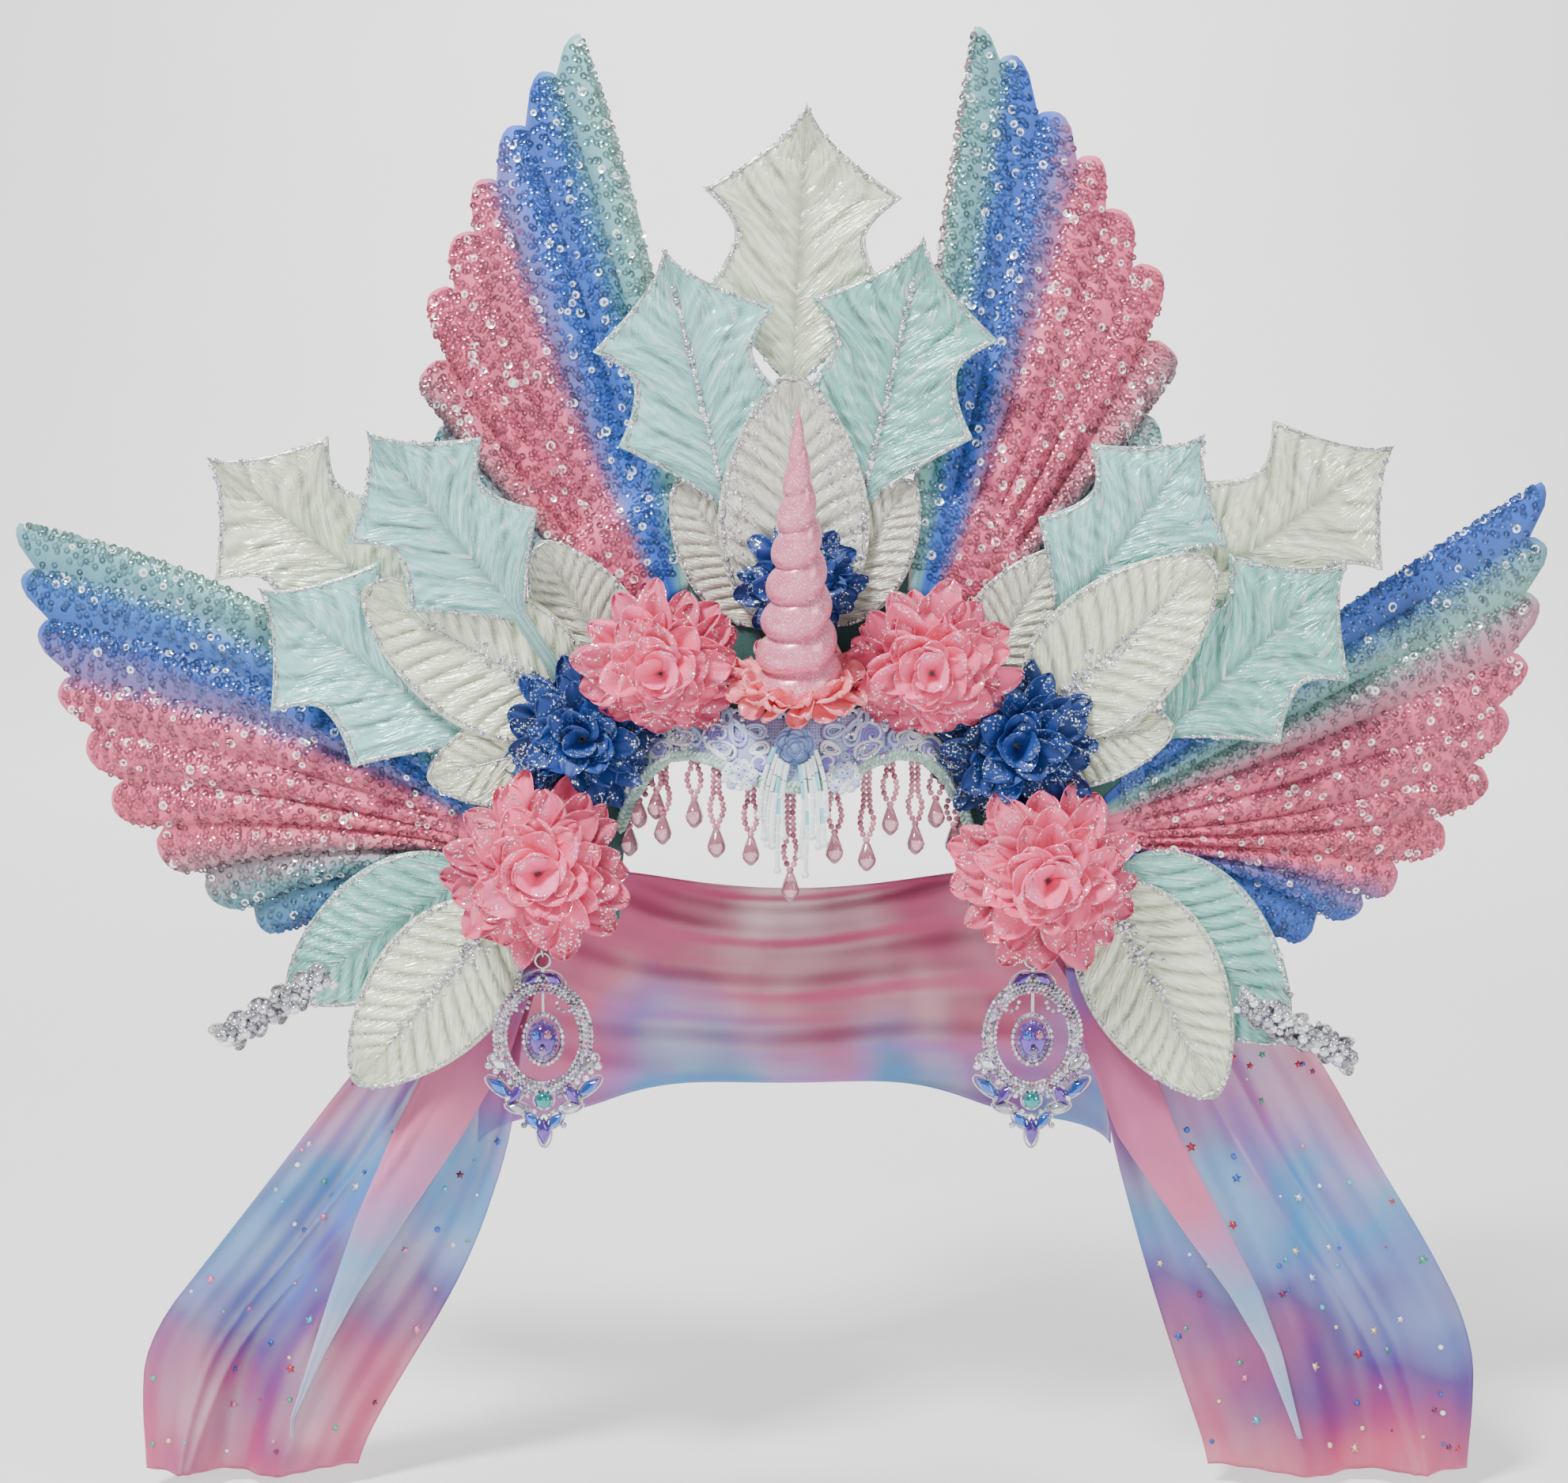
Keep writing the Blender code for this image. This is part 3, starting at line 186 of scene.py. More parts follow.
# Heights on a pendant are from its pivot: the oval, the stone that hangs in it, and the bail it swings on
OVAL_CENTRE_Z, OVAL_HALF_WIDTH, OVAL_HALF_HEIGHT, OVAL_BAND = -35.0, 18.5, 22.5, 5.2
EYE_CENTRE_Z, BAIL_RADIUS = -36.0, 3.2
Stone = namedtuple("Stone", "x z half_length half_width turn dye")
STONES = (
    Stone(-4.6, -9.6, 5.4, 2.6, 60, "violet"), Stone(4.6, -9.6, 5.4, 2.6, -60, "violet"),
    Stone(0.0, -62.5, 4.2, 4.2, 0, "teal"),
    Stone(-19.3, -57.0, 7.0, 2.8, -50, "blue"), Stone(19.3, -57.0, 7.0, 2.8, 50, "blue"),
    Stone(-12.0, -60.0, 6.0, 2.8, 35, "violet"), Stone(12.0, -60.0, 6.0, 2.8, -35, "violet"),
    Stone(-11.5, -66.0, 5.4, 2.6, -75, "clear"), Stone(11.5, -66.0, 5.4, 2.6, 75, "clear"),
    Stone(-5.0, -71.5, 5.0, 2.6, -42, "blue"), Stone(5.0, -71.5, 5.0, 2.6, 42, "blue"),
    Stone(0.0, -76.5, 7.0, 3.2, 0, "violet"),
    Stone(-19.0, -46.5, 5.4, 2.8, -55, "clear"), Stone(19.0, -46.5, 5.4, 2.8, 55, "clear"),
)
STONE_DYES = {
    "clear": "E8E8F0", "lilac": "C4A8DC", "violet": "6B45B0", "blue": "2F6FD0", "teal": "1FA39C",
    "rose": "E08CB0",
}
# Small clear stones on both sides of a pendant: out from its middle, height and radius
LOOSE_STONES = (
    (21.5, -44, 1.6), (23.5, -47.5, 1.9), (20.5, -50, 1.5), (18.5, -53, 1.7), (14.5, -54.5, 1.5),
    (9.5, -57.5, 1.4), (7.0, -60.5, 1.3), (15.5, -61.5, 1.5), (7.5, -66, 1.4), (4.0, -67.5, 1.2),
    (8.5, -73.5, 1.5), (3.2, -58.5, 1.3), (12.5, -50.5, 1.2), (2.0, -9.0, 1.4),
)

Spray = namedtuple("Spray", "name root tip radius y")
SPRAYS = (
    Spray("crystal_spray_left", (-199, -138), (-247, -168), 8.5, -34.0),
    Spray("crystal_spray_right", (189, -149), (241, -176), 9.0, -35.0),
)

TailRow = namedtuple("TailRow", "z outer inner fold y")
TAILS = {
    "scarf_tail_left": (
        TailRow(-100, -126, -99, 0.0, -17.5), TailRow(-117, -128, -99, 0.0, -17.5),
        TailRow(-138, -150, -108, 1.5, -16), TailRow(-162, -173, -118, 3.0, -14),
        TailRow(-188, -195, -121, 4.5, -12), TailRow(-218, -218, -125, 6.0, -10),
        TailRow(-268, -257, -142, 7.0, -8), TailRow(-306, -287, -162, 7.0, -7),
        TailRow(-330, -291, -178, 7.0, -7), TailRow(-372, -290, -199, 7.0, -7),
    ),
    "scarf_tail_right": (
        TailRow(-100, 126, 99, 0.0, -17.5), TailRow(-117, 130, 100, 0.0, -17.5),
        TailRow(-138, 170, 116, 1.5, -16), TailRow(-160, 216, 127, 3.0, -14),
        TailRow(-188, 235, 134, 4.5, -12), TailRow(-218, 251, 140, 6.0, -10),
        TailRow(-268, 282, 154, 7.0, -8), TailRow(-306, 301, 166, 7.0, -7),
        TailRow(-330, 303, 174, 7.0, -7), TailRow(-372, 301, 188, 7.0, -7),
    ),
}
SWAG_TOP_Z, SWAG_FOOT_Z, SWAG_TOP_HALF_WIDTH, SWAG_FOOT_HALF_WIDTH = -100.0, -222.0, 84.0, 121.0
SWAG_START_Y, SWAG_TOP_DEPTH = 1.0, 119.0
# The scarf's colours down its length, from its top at 0 to its foot at 1
TULLE_BANDS = (
    (0.0, "B0406C"), (0.26, "C85A82"), (0.40, "A070BC"), (0.50, "3F8CC6"), (0.62, "5A74C0"), (0.74, "5A2F8C"),
    (0.86, "A03A7C"), (1.0, "D2547C"),
)
FOLD_BANDS = (
    (0.14, "9C74CC"), (0.28, "D96CA6"), (0.46, "EE86AE"), (0.58, "D49AD0"), (0.70, "92BCE6"), (0.86,
                                                                                               "C4CCEC"),
    (1.0, "D8D4EE"),
)
CONFETTI_DYES = ("7A2A5C", "C8324A", "E88AB0", "2F62C0", "45C0D8", "F2F4F6", "EBD9A4", "4FB38A")
# The narrow doubled fold on each tail: its middle, width and height above the floor of the cloth
FoldRow = namedtuple("FoldRow", "z middle width")
FOLDS = {
    "scarf_tail_left": (
        FoldRow(-138, -122, 20), FoldRow(-150, -128, 26), FoldRow(-177, -141, 34), FoldRow(-214, -161, 31),
        FoldRow(-252, -182, 22), FoldRow(-286, -199, 12), FoldRow(-313, -211, 6), FoldRow(-343, -223, 1.5),
    ),
    "scarf_tail_right": (
        FoldRow(-138, 124, 14), FoldRow(-150, 130, 20), FoldRow(-178, 141, 27), FoldRow(-214, 155, 27),
        FoldRow(-252, 178, 21), FoldRow(-286, 199, 14), FoldRow(-313, 212, 8), FoldRow(-356, 226, 1.5),
    ),
}

# The camera stands where the photograph was taken from
VIEW_CENTRE, VIEW_DISTANCE, VIEW_PITCH_DEG, VIEW_LENS = (-4.6, -20.0, -40.0), 1150.0, 6.0, 61.4
FLOOR_Z = -378.0


# Sizes and colours that a user would change

def size_property(label, description, metres):
    return FloatProperty(name=label, description=description, default=metres, unit="LENGTH")


def colour_property(label, description, colour):
    return FloatVectorProperty(name=label, description=description, default=colour, subtype="COLOR")


class CrownSizes(bpy.types.PropertyGroup):
    sequin_diameter: size_property("Sequin", "Diameter of a sequin", 0.0029)
    sequin_pitch: size_property("Sequin pitch", "Distance between sequins", 0.0029)
    sequin_tilt: FloatProperty(
        name="Sequin tilt", description="How far a sequin lies out of line", default=math.radians(9),
        subtype="ANGLE")
    rhinestone: size_property("Rhinestone", "Diameter of a trim stone", 0.0029)
    trim_cord: size_property("Trim line", "Width of the glitter line", 0.0018)
    seed_bead: size_property("Seed bead", "Diameter of a seed bead", 0.0028)
    bugle: size_property("Bugle bead", "Length of a bugle bead", 0.0062)
    tulle_thickness: size_property("Tulle", "Thickness of the tulle", 0.0005)
    confetti: IntProperty(name="Confetti", description="Foil stars and dots on each tail of the scarf",
                          default=75)
    seed: IntProperty(name="Seed", description="Start of every random draw", default=7)


class CrownColours(bpy.types.PropertyGroup):
    horn: colour_property("Horn", "Pearl of the horn", (0.82, 0.22, 0.36))
    ruffle: colour_property("Ruffle", "Chiffon of the ruffle", (1.0, 0.22, 0.28))
    pink: colour_property("Pink petals", "Pink chiffon", (0.86, 0.12, 0.25))
    blue: colour_property("Blue petals", "Blue chiffon", (0.002, 0.032, 0.2))
    felt: colour_property("Felt", "Felt base", (0.028, 0.11, 0.10))
    lace: colour_property("Lace", "Brow lace", (0.36, 0.43, 0.70))
    braid: colour_property("Braid", "Braid under the lace", (0.45, 0.66, 0.58))
    rose: colour_property("Rose", "Moulded rose", (0.31, 0.43, 0.72))
    crystal: colour_property("Crystal", "Glass drops", (0.72, 0.28, 0.36))


def sizes():
    return bpy.context.scene.crown_sizes


def colours():
    return bpy.context.scene.crown_colours


def draws(offset):
    """A run of random draws of its own for one piece."""
    return random.Random(sizes().seed + offset)


def linear(code):
    """The linear colour of a web colour."""
    shares = [int(code[i:i + 2], 16) / 255 for i in (0, 2, 4)]
    return tuple(((s + 0.055) / 1.055) ** 2.4 if s > 0.04045 else s / 12.92 for s in shares)


def lit(dye, light):
    return [min(1.0, part * light) for part in dye]


# Shader nodes and groups

class Graph:
    """Adds linked shader nodes to a node tree."""

    def __init__(self, tree):
        self.tree = tree

    def put(self, value, socket):
        """Links a socket's value to an input, or sets the input to a plain value."""
        if isinstance(value, bpy.types.NodeSocket):
            self.tree.links.new(value, socket)
        else:
            socket.default_value = value

    def node(self, kind, inputs=None, **settings):
        made = self.tree.nodes.new("ShaderNode" + kind)
        for key, value in settings.items():
            setattr(made, key, value)
        for key, value in (inputs or {}).items():
            self.put(value, made.inputs[key])
        return made.outputs

    def maths(self, operation, a, b=0.0):
        return self.node("Math", {0: a, 1: b}, operation=operation)[0]

    def times(self, a, b):
        return self.maths("MULTIPLY", a, b)

    def plus(self, a, b):
        return self.maths("ADD", a, b)

    def sway(self, cloud, amount):
        """A cloud's value swung about nought."""
        return self.times(self.maths("SUBTRACT", cloud, 0.5), amount)

    def blend(self, share, a, b):
        return self.node("Mix", {0: share, 6: a, 7: b}, data_type="RGBA")[2]

    def ranged(self, value, low, high, start=0.0, end=1.0):
        """A value that runs from start to end, made to run from low to high."""
        return self.node("MapRange", {"Value": value, "From Min": start, "From Max": end,
                                      "To Min": low, "To Max": high})["Result"]

    def noise(self, place, scale, detail=2.0, **others):
        return self.node("TexNoise", {"Vector": place, "Scale": scale, "Detail": detail, **others})["Fac"]


def shader_group(name, inputs, outputs):
    """A node group with named sockets, the outputs of its start and the inputs of its end."""
    group = bpy.data.node_groups.new(name, "ShaderNodeTree")
    for label, kind, default in inputs:
        socket = group.interface.new_socket(label, in_out="INPUT", socket_type="NodeSocket" + kind)
        if default is not None:
            socket.default_value = default
    for label, kind in outputs:
        group.interface.new_socket(label, in_out="OUTPUT", socket_type="NodeSocket" + kind)
    return Graph(group), group.nodes.new("NodeGroupInput").outputs, group.nodes.new("NodeGroupOutput").inputs


def uneven_dye_group():
    """Cloth colour that drifts lighter and darker over the piece."""
    group, start, end = shader_group(
        "uneven_dye",
        (("Color", "Color", (0.5, 0.5, 0.5, 1)), ("Vector", "Vector", None), ("Scale", "Float", 60.0),
         ("Amount", "Float", 0.25)),
        (("Color", "Color"), ("Value", "Float")))
    cloud = group.noise(start["Vector"], start["Scale"], 4.0, Roughness=0.6)
    level = group.plus(group.times(group.sway(cloud, start["Amount"]), 2.0), 1.0)
    toned = group.node("HueSaturation", {"Color": start["Color"], "Value": level})
    group.put(toned["Color"], end["Color"])
    group.put(cloud, end["Value"])
    return group.tree


def flecks_group():
    """Scattered flat flecks, as of glitter, each with its own brightness and tint."""
    group, start, end = shader_group(
        "glitter_flecks",
        (("Vector", "Vector", None), ("Scale", "Float", 900.0), ("Share", "Float", 0.3)),
        (("Mask", "Float"), ("Shine", "Float"), ("Tint", "Color")))
    cells = group.node("TexVoronoi", {"Vector": start["Vector"], "Scale": start["Scale"]})
    parts = group.node("SeparateColor", {"Color": cells["Color"]})
    chosen = group.maths("LESS_THAN", parts[0], start["Share"])
    near = group.maths("LESS_THAN", cells["Distance"], 0.48)
    tint = group.node("HueSaturation", {"Color": cells["Color"], "Saturation": 0.5, "Value": 1.6})
    group.put(group.times(chosen, near), end["Mask"])
    group.put(parts[1], end["Shine"])
    group.put(tint["Color"], end["Tint"])
    return group.tree


def weave_group():
    """Crossing threads, as height and as a mask of the holes between them."""
    group, start, end = shader_group(
        "thread_weave", (("Vector", "Vector", None), ("Scale", "Float", 500.0)),
        (("Height", "Float"), ("Thread", "Float")))
    lines = [group.node("TexWave", {"Vector": start["Vector"], "Scale": start["Scale"], "Distortion": 1.5,
                                    "Detail": 1.0}, bands_direction=direction)["Fac"] for direction in ("X",
                                                                                                        "Z")]
    height = group.maths("MAXIMUM", *lines)
    group.put(height, end["Height"])
    group.put(group.maths("GREATER_THAN", height, 0.55), end["Thread"])
    return group.tree


GROUPS = {}


# Materials

class Finish(Graph):
    """A material in the making, with the inputs of its Principled shader and its object coordinates."""

    def __init__(self, name, roughness=0.5, **sockets):
        self.material = bpy.data.materials.new(name)
        self.material.use_nodes = True
        super().__init__(self.material.node_tree)
        self.shader = self.tree.nodes["Principled BSDF"].inputs
        self.shader["Roughness"].default_value = roughness
        for key, value in sockets.items():
            self.shader[key.replace("_", " ").title().replace("Ior", "IOR")].default_value = value
        self.place = self.node("TexCoord")["Object"]

    def link(self, source, socket):
        self.put(source, self.shader[socket])

    def dye(self):
        return self.node("Attribute", attribute_name="dye")["Color"]

    def cloth(self):
        """Where a point is on its leaf or petal: X across it, Y from its foot to its tip, 0 to 1."""
        return self.node("SeparateXYZ", {"Vector": self.node("UVMap", uv_map="cloth")["UV"]})

    def bump(self, height, strength, distance):
        made = self.node("Bump", {"Height": height, "Strength": strength, "Distance": distance})
        self.link(made["Normal"], "Normal")

    def grouped(self, name, inputs):
        return self.node("Group", {"Vector": self.place, **inputs}, node_tree=GROUPS[name])

    def uneven(self, colour, scale, amount):
        return self.grouped("uneven_dye", {"Color": colour, "Scale": scale, "Amount": amount})

    def flecks(self, scale, share):
        return self.grouped("glitter_flecks", {"Scale": scale, "Share": share})

    def turned(self, blend, share):
        """How far the surface turns away from the viewer, up to a share."""
        return self.times(self.node("LayerWeight", {"Blend": blend})["Facing"], share)


def dyed_finish(name, roughness, scale, amount, colour=None, **sockets):
    """A finish in one drifting dye, the piece's own or the given colour, and the dye's outputs."""
    finish = Finish(name, roughness, **sockets)
    dyed = finish.uneven(finish.dye() if colour is None else (*colour, 1), scale, amount)
    finish.link(dyed["Color"], "Base Color")
    return finish, dyed


def sequin_finish():
    finish = Finish("sequin_foil", 0.24, metallic=0.35, coat_weight=0.4, coat_roughness=0.1)
    dyed = finish.uneven(finish.dye(), 90.0, 0.2)
    finish.link(finish.blend(finish.turned(0.3, 0.25), dyed["Color"], (0.80, 0.86, 0.95, 1)), "Base Color")
    return finish


def padding_finish():
    finish, _ = dyed_finish("wing_cloth", 0.55, 40.0, 0.22, sheen_weight=0.3)
    finish.bump(finish.grouped("thread_weave", {"Scale": 420.0})["Height"], 0.25, 0.0003)
    return finish


def satin_finish(name="pearl_satin", band=0.90, band_share=0.55):
    """Puckered satin with glitter scattered in from its cut edge, from band, 1 at the very edge."""
    finish = Finish(name, 0.3, metallic=0.3, sheen_weight=0.2, coat_weight=0.2, coat_roughness=0.25)
    dyed = finish.uneven(finish.dye(), 45.0, 0.14)
    cloth = finish.cloth()
    side = finish.node("Math", {0: cloth["X"], 1: 2.0, 2: -1.0}, operation="MULTIPLY_ADD")[0]
    off_rib = finish.maths("ABSOLUTE", side)
    reach = finish.plus(off_rib, finish.sway(finish.noise(finish.place, 90.0), 0.35))
    near_edge = finish.ranged(reach, 0.0, 1.0, band, band + 0.08)
    flecks = finish.flecks(1300.0, band_share)
    shown = finish.times(flecks["Mask"], near_edge)
    grain = finish.ranged(flecks["Shine"], 0.15, 1.0)
    silver = finish.blend(grain, (0.22, 0.23, 0.24, 1), (1.0, 1.0, 0.98, 1))
    # the fine gathers run from the rib out to the edge
    run = finish.plus(finish.times(cloth["Y"], 34.0), finish.times(off_rib, -9.0))
    streak = finish.node("CombineXYZ", {"X": finish.times(cloth["X"], 7.0), "Y": run})["Vector"]
    gathers = finish.noise(streak, 1.0, 3.0, Distortion=0.9)
    # the crests of the gathers are painted pale, near white: a painted highlight
    crest = finish.ranged(gathers, 0.0, 0.55, 0.52, 0.68)
    lit = finish.blend(crest, dyed["Color"], (0.93, 0.98, 0.94, 1))
    finish.link(finish.blend(shown, lit, silver), "Base Color")
    finish.bump(gathers, 0.8, 0.003)
    finish.link(finish.ranged(dyed["Value"], 0.20, 0.36), "Roughness")
    return finish


def frosted_finish():
    return satin_finish("frosted_satin", 0.45, 0.75)


def glitter_finish():
    finish = Finish("silver_glitter", 0.3, metallic=0.75)
    shine = finish.flecks(1500.0, 0.95)["Shine"]
    bright = finish.ranged(shine, 0.12, 1.0)
    finish.link(finish.blend(bright, (0.12, 0.13, 0.13, 1), (0.95, 0.95, 0.92, 1)), "Base Color")
    finish.bump(shine, 0.9, 0.0008)
    return finish


def stone_finish():
    finish = Finish("cut_stone", 0.06, metallic=0.7, coat_weight=1.0, coat_roughness=0.02)
    finish.link(finish.blend(finish.turned(0.35, 0.3), finish.dye(), (0.50, 0.42, 0.85, 1)), "Base Color")
    return finish


def chiffon_finish():
    """Sheer cloth with patches of tinted flecks towards the tips of its petals."""
    finish = Finish("petal_chiffon", 0.55, sheen_weight=0.15, sheen_roughness=0.4, subsurface_weight=0.1,
                    subsurface_scale=0.003)
    dyed = finish.uneven(finish.dye(), 110.0, 0.25)
    flecks = finish.flecks(1000.0, 0.48)
    tips = finish.ranged(finish.cloth()["Y"], 0.0, 1.0, 0.52, 0.80)
    patch = finish.maths("GREATER_THAN", finish.noise(finish.place, 130.0), 0.47)
    shown = finish.times(finish.times(flecks["Mask"], patch), tips)
    near = finish.blend(0.45, (0.95, 0.93, 0.95, 1), dyed["Color"])
    fleck = finish.blend(0.35, near, flecks["Tint"])
    finish.link(finish.blend(shown, dyed["Color"], fleck), "Base Color")
    finish.link(finish.ranged(shown, 0.6, 0.15), "Roughness")
    finish.link(finish.times(shown, 0.8), "Metallic")
    finish.bump(dyed["Value"], 0.3, 0.0008)
    return finish


def horn_finish():
    finish = Finish("horn_pearl", 0.3, metallic=0.25, coat_weight=0.6, coat_roughness=0.15)
    dyed = finish.uneven((*colours().horn, 1), 35.0, 0.15)
    flecks = finish.flecks(1400.0, 0.5)
    shown = finish.times(flecks["Mask"], flecks["Shine"])
    finish.link(finish.blend(shown, dyed["Color"], (1.0, 0.80, 0.84, 1)), "Base Color")
    finish.bump(flecks["Shine"], 0.5, 0.0004)
    return finish


def felt_finish():
    finish = Finish("wool_felt", 0.95, sheen_weight=0.35)
    fibres = finish.noise(finish.place, 700.0, 6.0, Roughness=0.8)
    dyed = finish.uneven((*colours().felt, 1), 60.0, 0.3)
    pale = finish.blend(finish.times(fibres, 0.3), dyed["Color"], (0.12, 0.26, 0.24, 1))
    finish.link(pale, "Base Color")
    finish.bump(fibres, 0.8, 0.0008)
    return finish


def thread_finish():
    finish, _ = dyed_finish("lace_thread", 0.75, 200.0, 0.3, sheen_weight=0.4)
    twist = finish.node("TexWave", {"Vector": finish.place, "Scale": 700.0, "Distortion": 2.0},
                        bands_direction="DIAGONAL")
    finish.bump(twist["Fac"], 0.5, 0.0003)
    return finish


def net_finish():
    """The fine net that the lace is worked on."""
    finish, _ = dyed_finish("lace_net", 0.8, 90.0, 0.5, colours().lace)
    weave = finish.grouped("thread_weave", {"Scale": 260.0})
    finish.link(finish.ranged(weave["Thread"], 0.62, 1.0), "Alpha")
    finish.bump(weave["Height"], 0.5, 0.0005)
    return finish


def resin_finish():
    finish, dyed = dyed_finish("rose_resin", 0.38, 150.0, 0.25, colours().rose, coat_weight=0.2)
    finish.bump(dyed["Value"], 0.15, 0.0005)
    return finish


def glass_finish():
    return dyed_finish("rose_glass", 0.04, 120.0, 0.15, transmission_weight=0.75, ior=1.54,
                       coat_weight=0.6)[0]


def bugle_finish():
    return dyed_finish("white_glass", 0.18, 300.0, 0.12, coat_weight=0.6, subsurface_weight=0.1,
                       subsurface_scale=0.002)[0]


def metal_finish():
    finish, dyed = dyed_finish("silver_metal", 0.22, 300.0, 0.25, (0.62, 0.60, 0.64), metallic=1.0)
    finish.link(finish.ranged(dyed["Value"], 0.14, 0.36), "Roughness")
    return finish


def tulle_finish(name="dyed_tulle", bands=None, thin=0.54, thick=0.76):
    """Sheer tulle dyed in bands down the scarf. thin and thick are how much it covers."""
    finish = Finish(name, 0.6, sheen_weight=0.6, sheen_roughness=0.3)
    height = finish.node("SeparateXYZ", {"Vector": finish.place})["Z"]
    shift = finish.sway(finish.noise(finish.place, 14.0), 0.16)
    level = finish.ranged(finish.plus(height, shift), 0.0, 1.0, -0.10, -0.375)
    ramp = finish.tree.nodes.new("ShaderNodeValToRGB")
    finish.put(level, ramp.inputs["Fac"])
    stops = ramp.color_ramp.elements
    for number, (at, code) in enumerate(bands or TULLE_BANDS):
        stop = stops[number] if number < 2 else stops.new(at)
        stop.position = at
        stop.color = (*linear(code), 1)
    finish.link(ramp.outputs["Color"], "Base Color")
    # it covers more where it is gathered and where it turns away from the viewer
    cover = finish.ranged(finish.noise(finish.place, 22.0, 1.0), thin, thick, 0.3, 0.7)
    finish.link(finish.maths("MINIMUM", finish.plus(cover, finish.turned(0.5, 0.55)), 0.96), "Alpha")
    return finish


def fold_finish():
    return tulle_finish("doubled_tulle", FOLD_BANDS, 0.42, 0.6)


def foil_finish():
    return dyed_finish("confetti_foil", 0.25, 160.0, 0.15, metallic=0.5, coat_weight=0.4)[0]


def stage_finish():
    return dyed_finish("pale_floor", 0.85, 3.0, 0.03, (0.80, 0.80, 0.79))[0]


MATERIALS = {}
FINISH_MAKERS = {
    "sequin": sequin_finish, "padding": padding_finish, "satin": satin_finish, "frosted": frosted_finish,
    "glitter": glitter_finish, "stone": stone_finish, "chiffon": chiffon_finish, "horn": horn_finish,
    "felt": felt_finish, "thread": thread_finish, "net": net_finish, "resin": resin_finish,
    "glass": glass_finish, "bugle": bugle_finish, "metal": metal_finish, "tulle": tulle_finish,
    "fold": fold_finish, "foil": foil_finish, "stage": stage_finish,
}


def finish_of(name):
    """A material of this crown, made when it is first asked for."""
    if not GROUPS:
        GROUPS.update(uneven_dye=uneven_dye_group(), glitter_flecks=flecks_group(),
                      thread_weave=weave_group())
    if name not in MATERIALS:
        MATERIALS[name] = FINISH_MAKERS[name]().material
    return MATERIALS[name]


# Mesh building

Shape = namedtuple("Shape", "points loops totals cloth")


class Pile:
    """Shapes gathered into one mesh, in millimetres, with a dye and a place on the cloth for each point."""

    def __init__(self):
        self.points, self.loops, self.totals, self.dyes, self.cloths = [], [], [], [], []
        self.count = 0

    def add(self, shape, dye=(1.0, 1.0, 1.0)):
        count = len(shape.points)
        self.points.append(shape.points)
        self.loops.append(shape.loops + self.count)
        self.totals.append(shape.totals)
        self.dyes.append(np.broadcast_to(np.asarray(dye, float), (count, 3)))
        self.cloths.append(np.zeros((count, 2)) if shape.cloth is None else shape.cloth)
        self.count += count

    def add_copies(self, shape, centres, axes, dyes):
        """One copy of the shape for each centre, with its axes as columns, each in its own dye."""
        centres = np.asarray(centres, float)
        copies, size = len(centres), len(shape.points)
        axes = np.broadcast_to(np.asarray(axes, float), (copies, 3, 3))
        points = np.einsum("nij,pj->npi", axes, shape.points) + centres[:, None]
        loops = (shape.loops[None] + np.arange(copies)[:, None] * size).reshape(-1)
        cloth = np.zeros((size, 2)) if shape.cloth is None else shape.cloth
        self.add(Shape(points.reshape(-1, 3), loops, np.tile(shape.totals, copies), np.tile(cloth, (copies,
                                                                                                    1))),
                 np.repeat(np.broadcast_to(np.asarray(dyes, float), (copies, 3)), size, axis=0))

    def piece(self, name, finish, slot, nodes=(), body=HOME_BODY, sharp_deg=None, recalc=False):
        """Turns the pile into a piece that rides on a body and stands for some nodes."""
        points, loops = np.concatenate(self.points) * MM, np.concatenate(self.loops)
        totals = np.concatenate(self.totals)
        mesh = bpy.data.meshes.new(name)
        mesh.vertices.add(len(points))
        mesh.vertices.foreach_set("co", points.astype(np.float32).reshape(-1))
        mesh.loops.add(len(loops))
        mesh.loops.foreach_set("vertex_index", loops.astype(np.int32))
        mesh.polygons.add(len(totals))
        starts = np.concatenate(([0], np.cumsum(totals)[:-1]))
        mesh.polygons.foreach_set("loop_start", starts.astype(np.int32))
        mesh.update(calc_edges=True)
        dyes = np.concatenate(self.dyes)
        layer = mesh.color_attributes.new("dye", "FLOAT_COLOR", "POINT")
        layer.data.foreach_set("color", np.column_stack((dyes,
                                                         np.ones(len(dyes)))).astype(np.float32).reshape(-1))
        cloth = mesh.uv_layers.new(name="cloth")
        cloth.data.foreach_set("uv", np.concatenate(self.cloths)[loops].astype(np.float32).reshape(-1))
        mesh.validate()
        obj = bpy.data.objects.new(name, mesh)
        bpy.context.scene.collection.objects.link(obj)
        return dress(obj, finish, nodes, body, sharp_deg, recalc)


def dress(obj, finish, nodes=(), body=HOME_BODY, sharp_deg=None, recalc=False):
    """Gives a made object its normals, material, body and the nodes that it stands for."""
    if recalc:
        shape = bmesh.new()
        shape.from_mesh(obj.data)
        bmesh.ops.recalc_face_normals(shape, faces=shape.faces)
        shape.to_mesh(obj.data)
        shape.free()
    if sharp_deg is None:
        obj.data.shade_smooth()
    elif sharp_deg > 0:
        obj.data.shade_smooth()
        obj.data.set_sharp_from_angle(angle=math.radians(sharp_deg))
    obj.data.materials.clear()
    obj.data.materials.append(finish_of(finish))
    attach(obj, body)
    if nodes:
        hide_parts(*nodes)
    return obj


def full_turn(count):
    """Angles in equal steps round a circle."""
    return np.linspace(0, 2 * math.pi, count, endpoint=False)


def grid_index(rows, columns, close_rows=False, close_columns=False):
    """The numbers of a grid's points, with the first row or column again at the end where it closes."""
    index = np.arange(rows * columns).reshape(rows, columns)
    return np.pad(index, ((0, int(close_rows)), (0, int(close_columns))), mode="wrap")


def grid_faces(index):
    return np.stack((index[:-1, :-1], index[:-1, 1:], index[1:, 1:], index[1:, :-1]), -1).reshape(-1, 4)


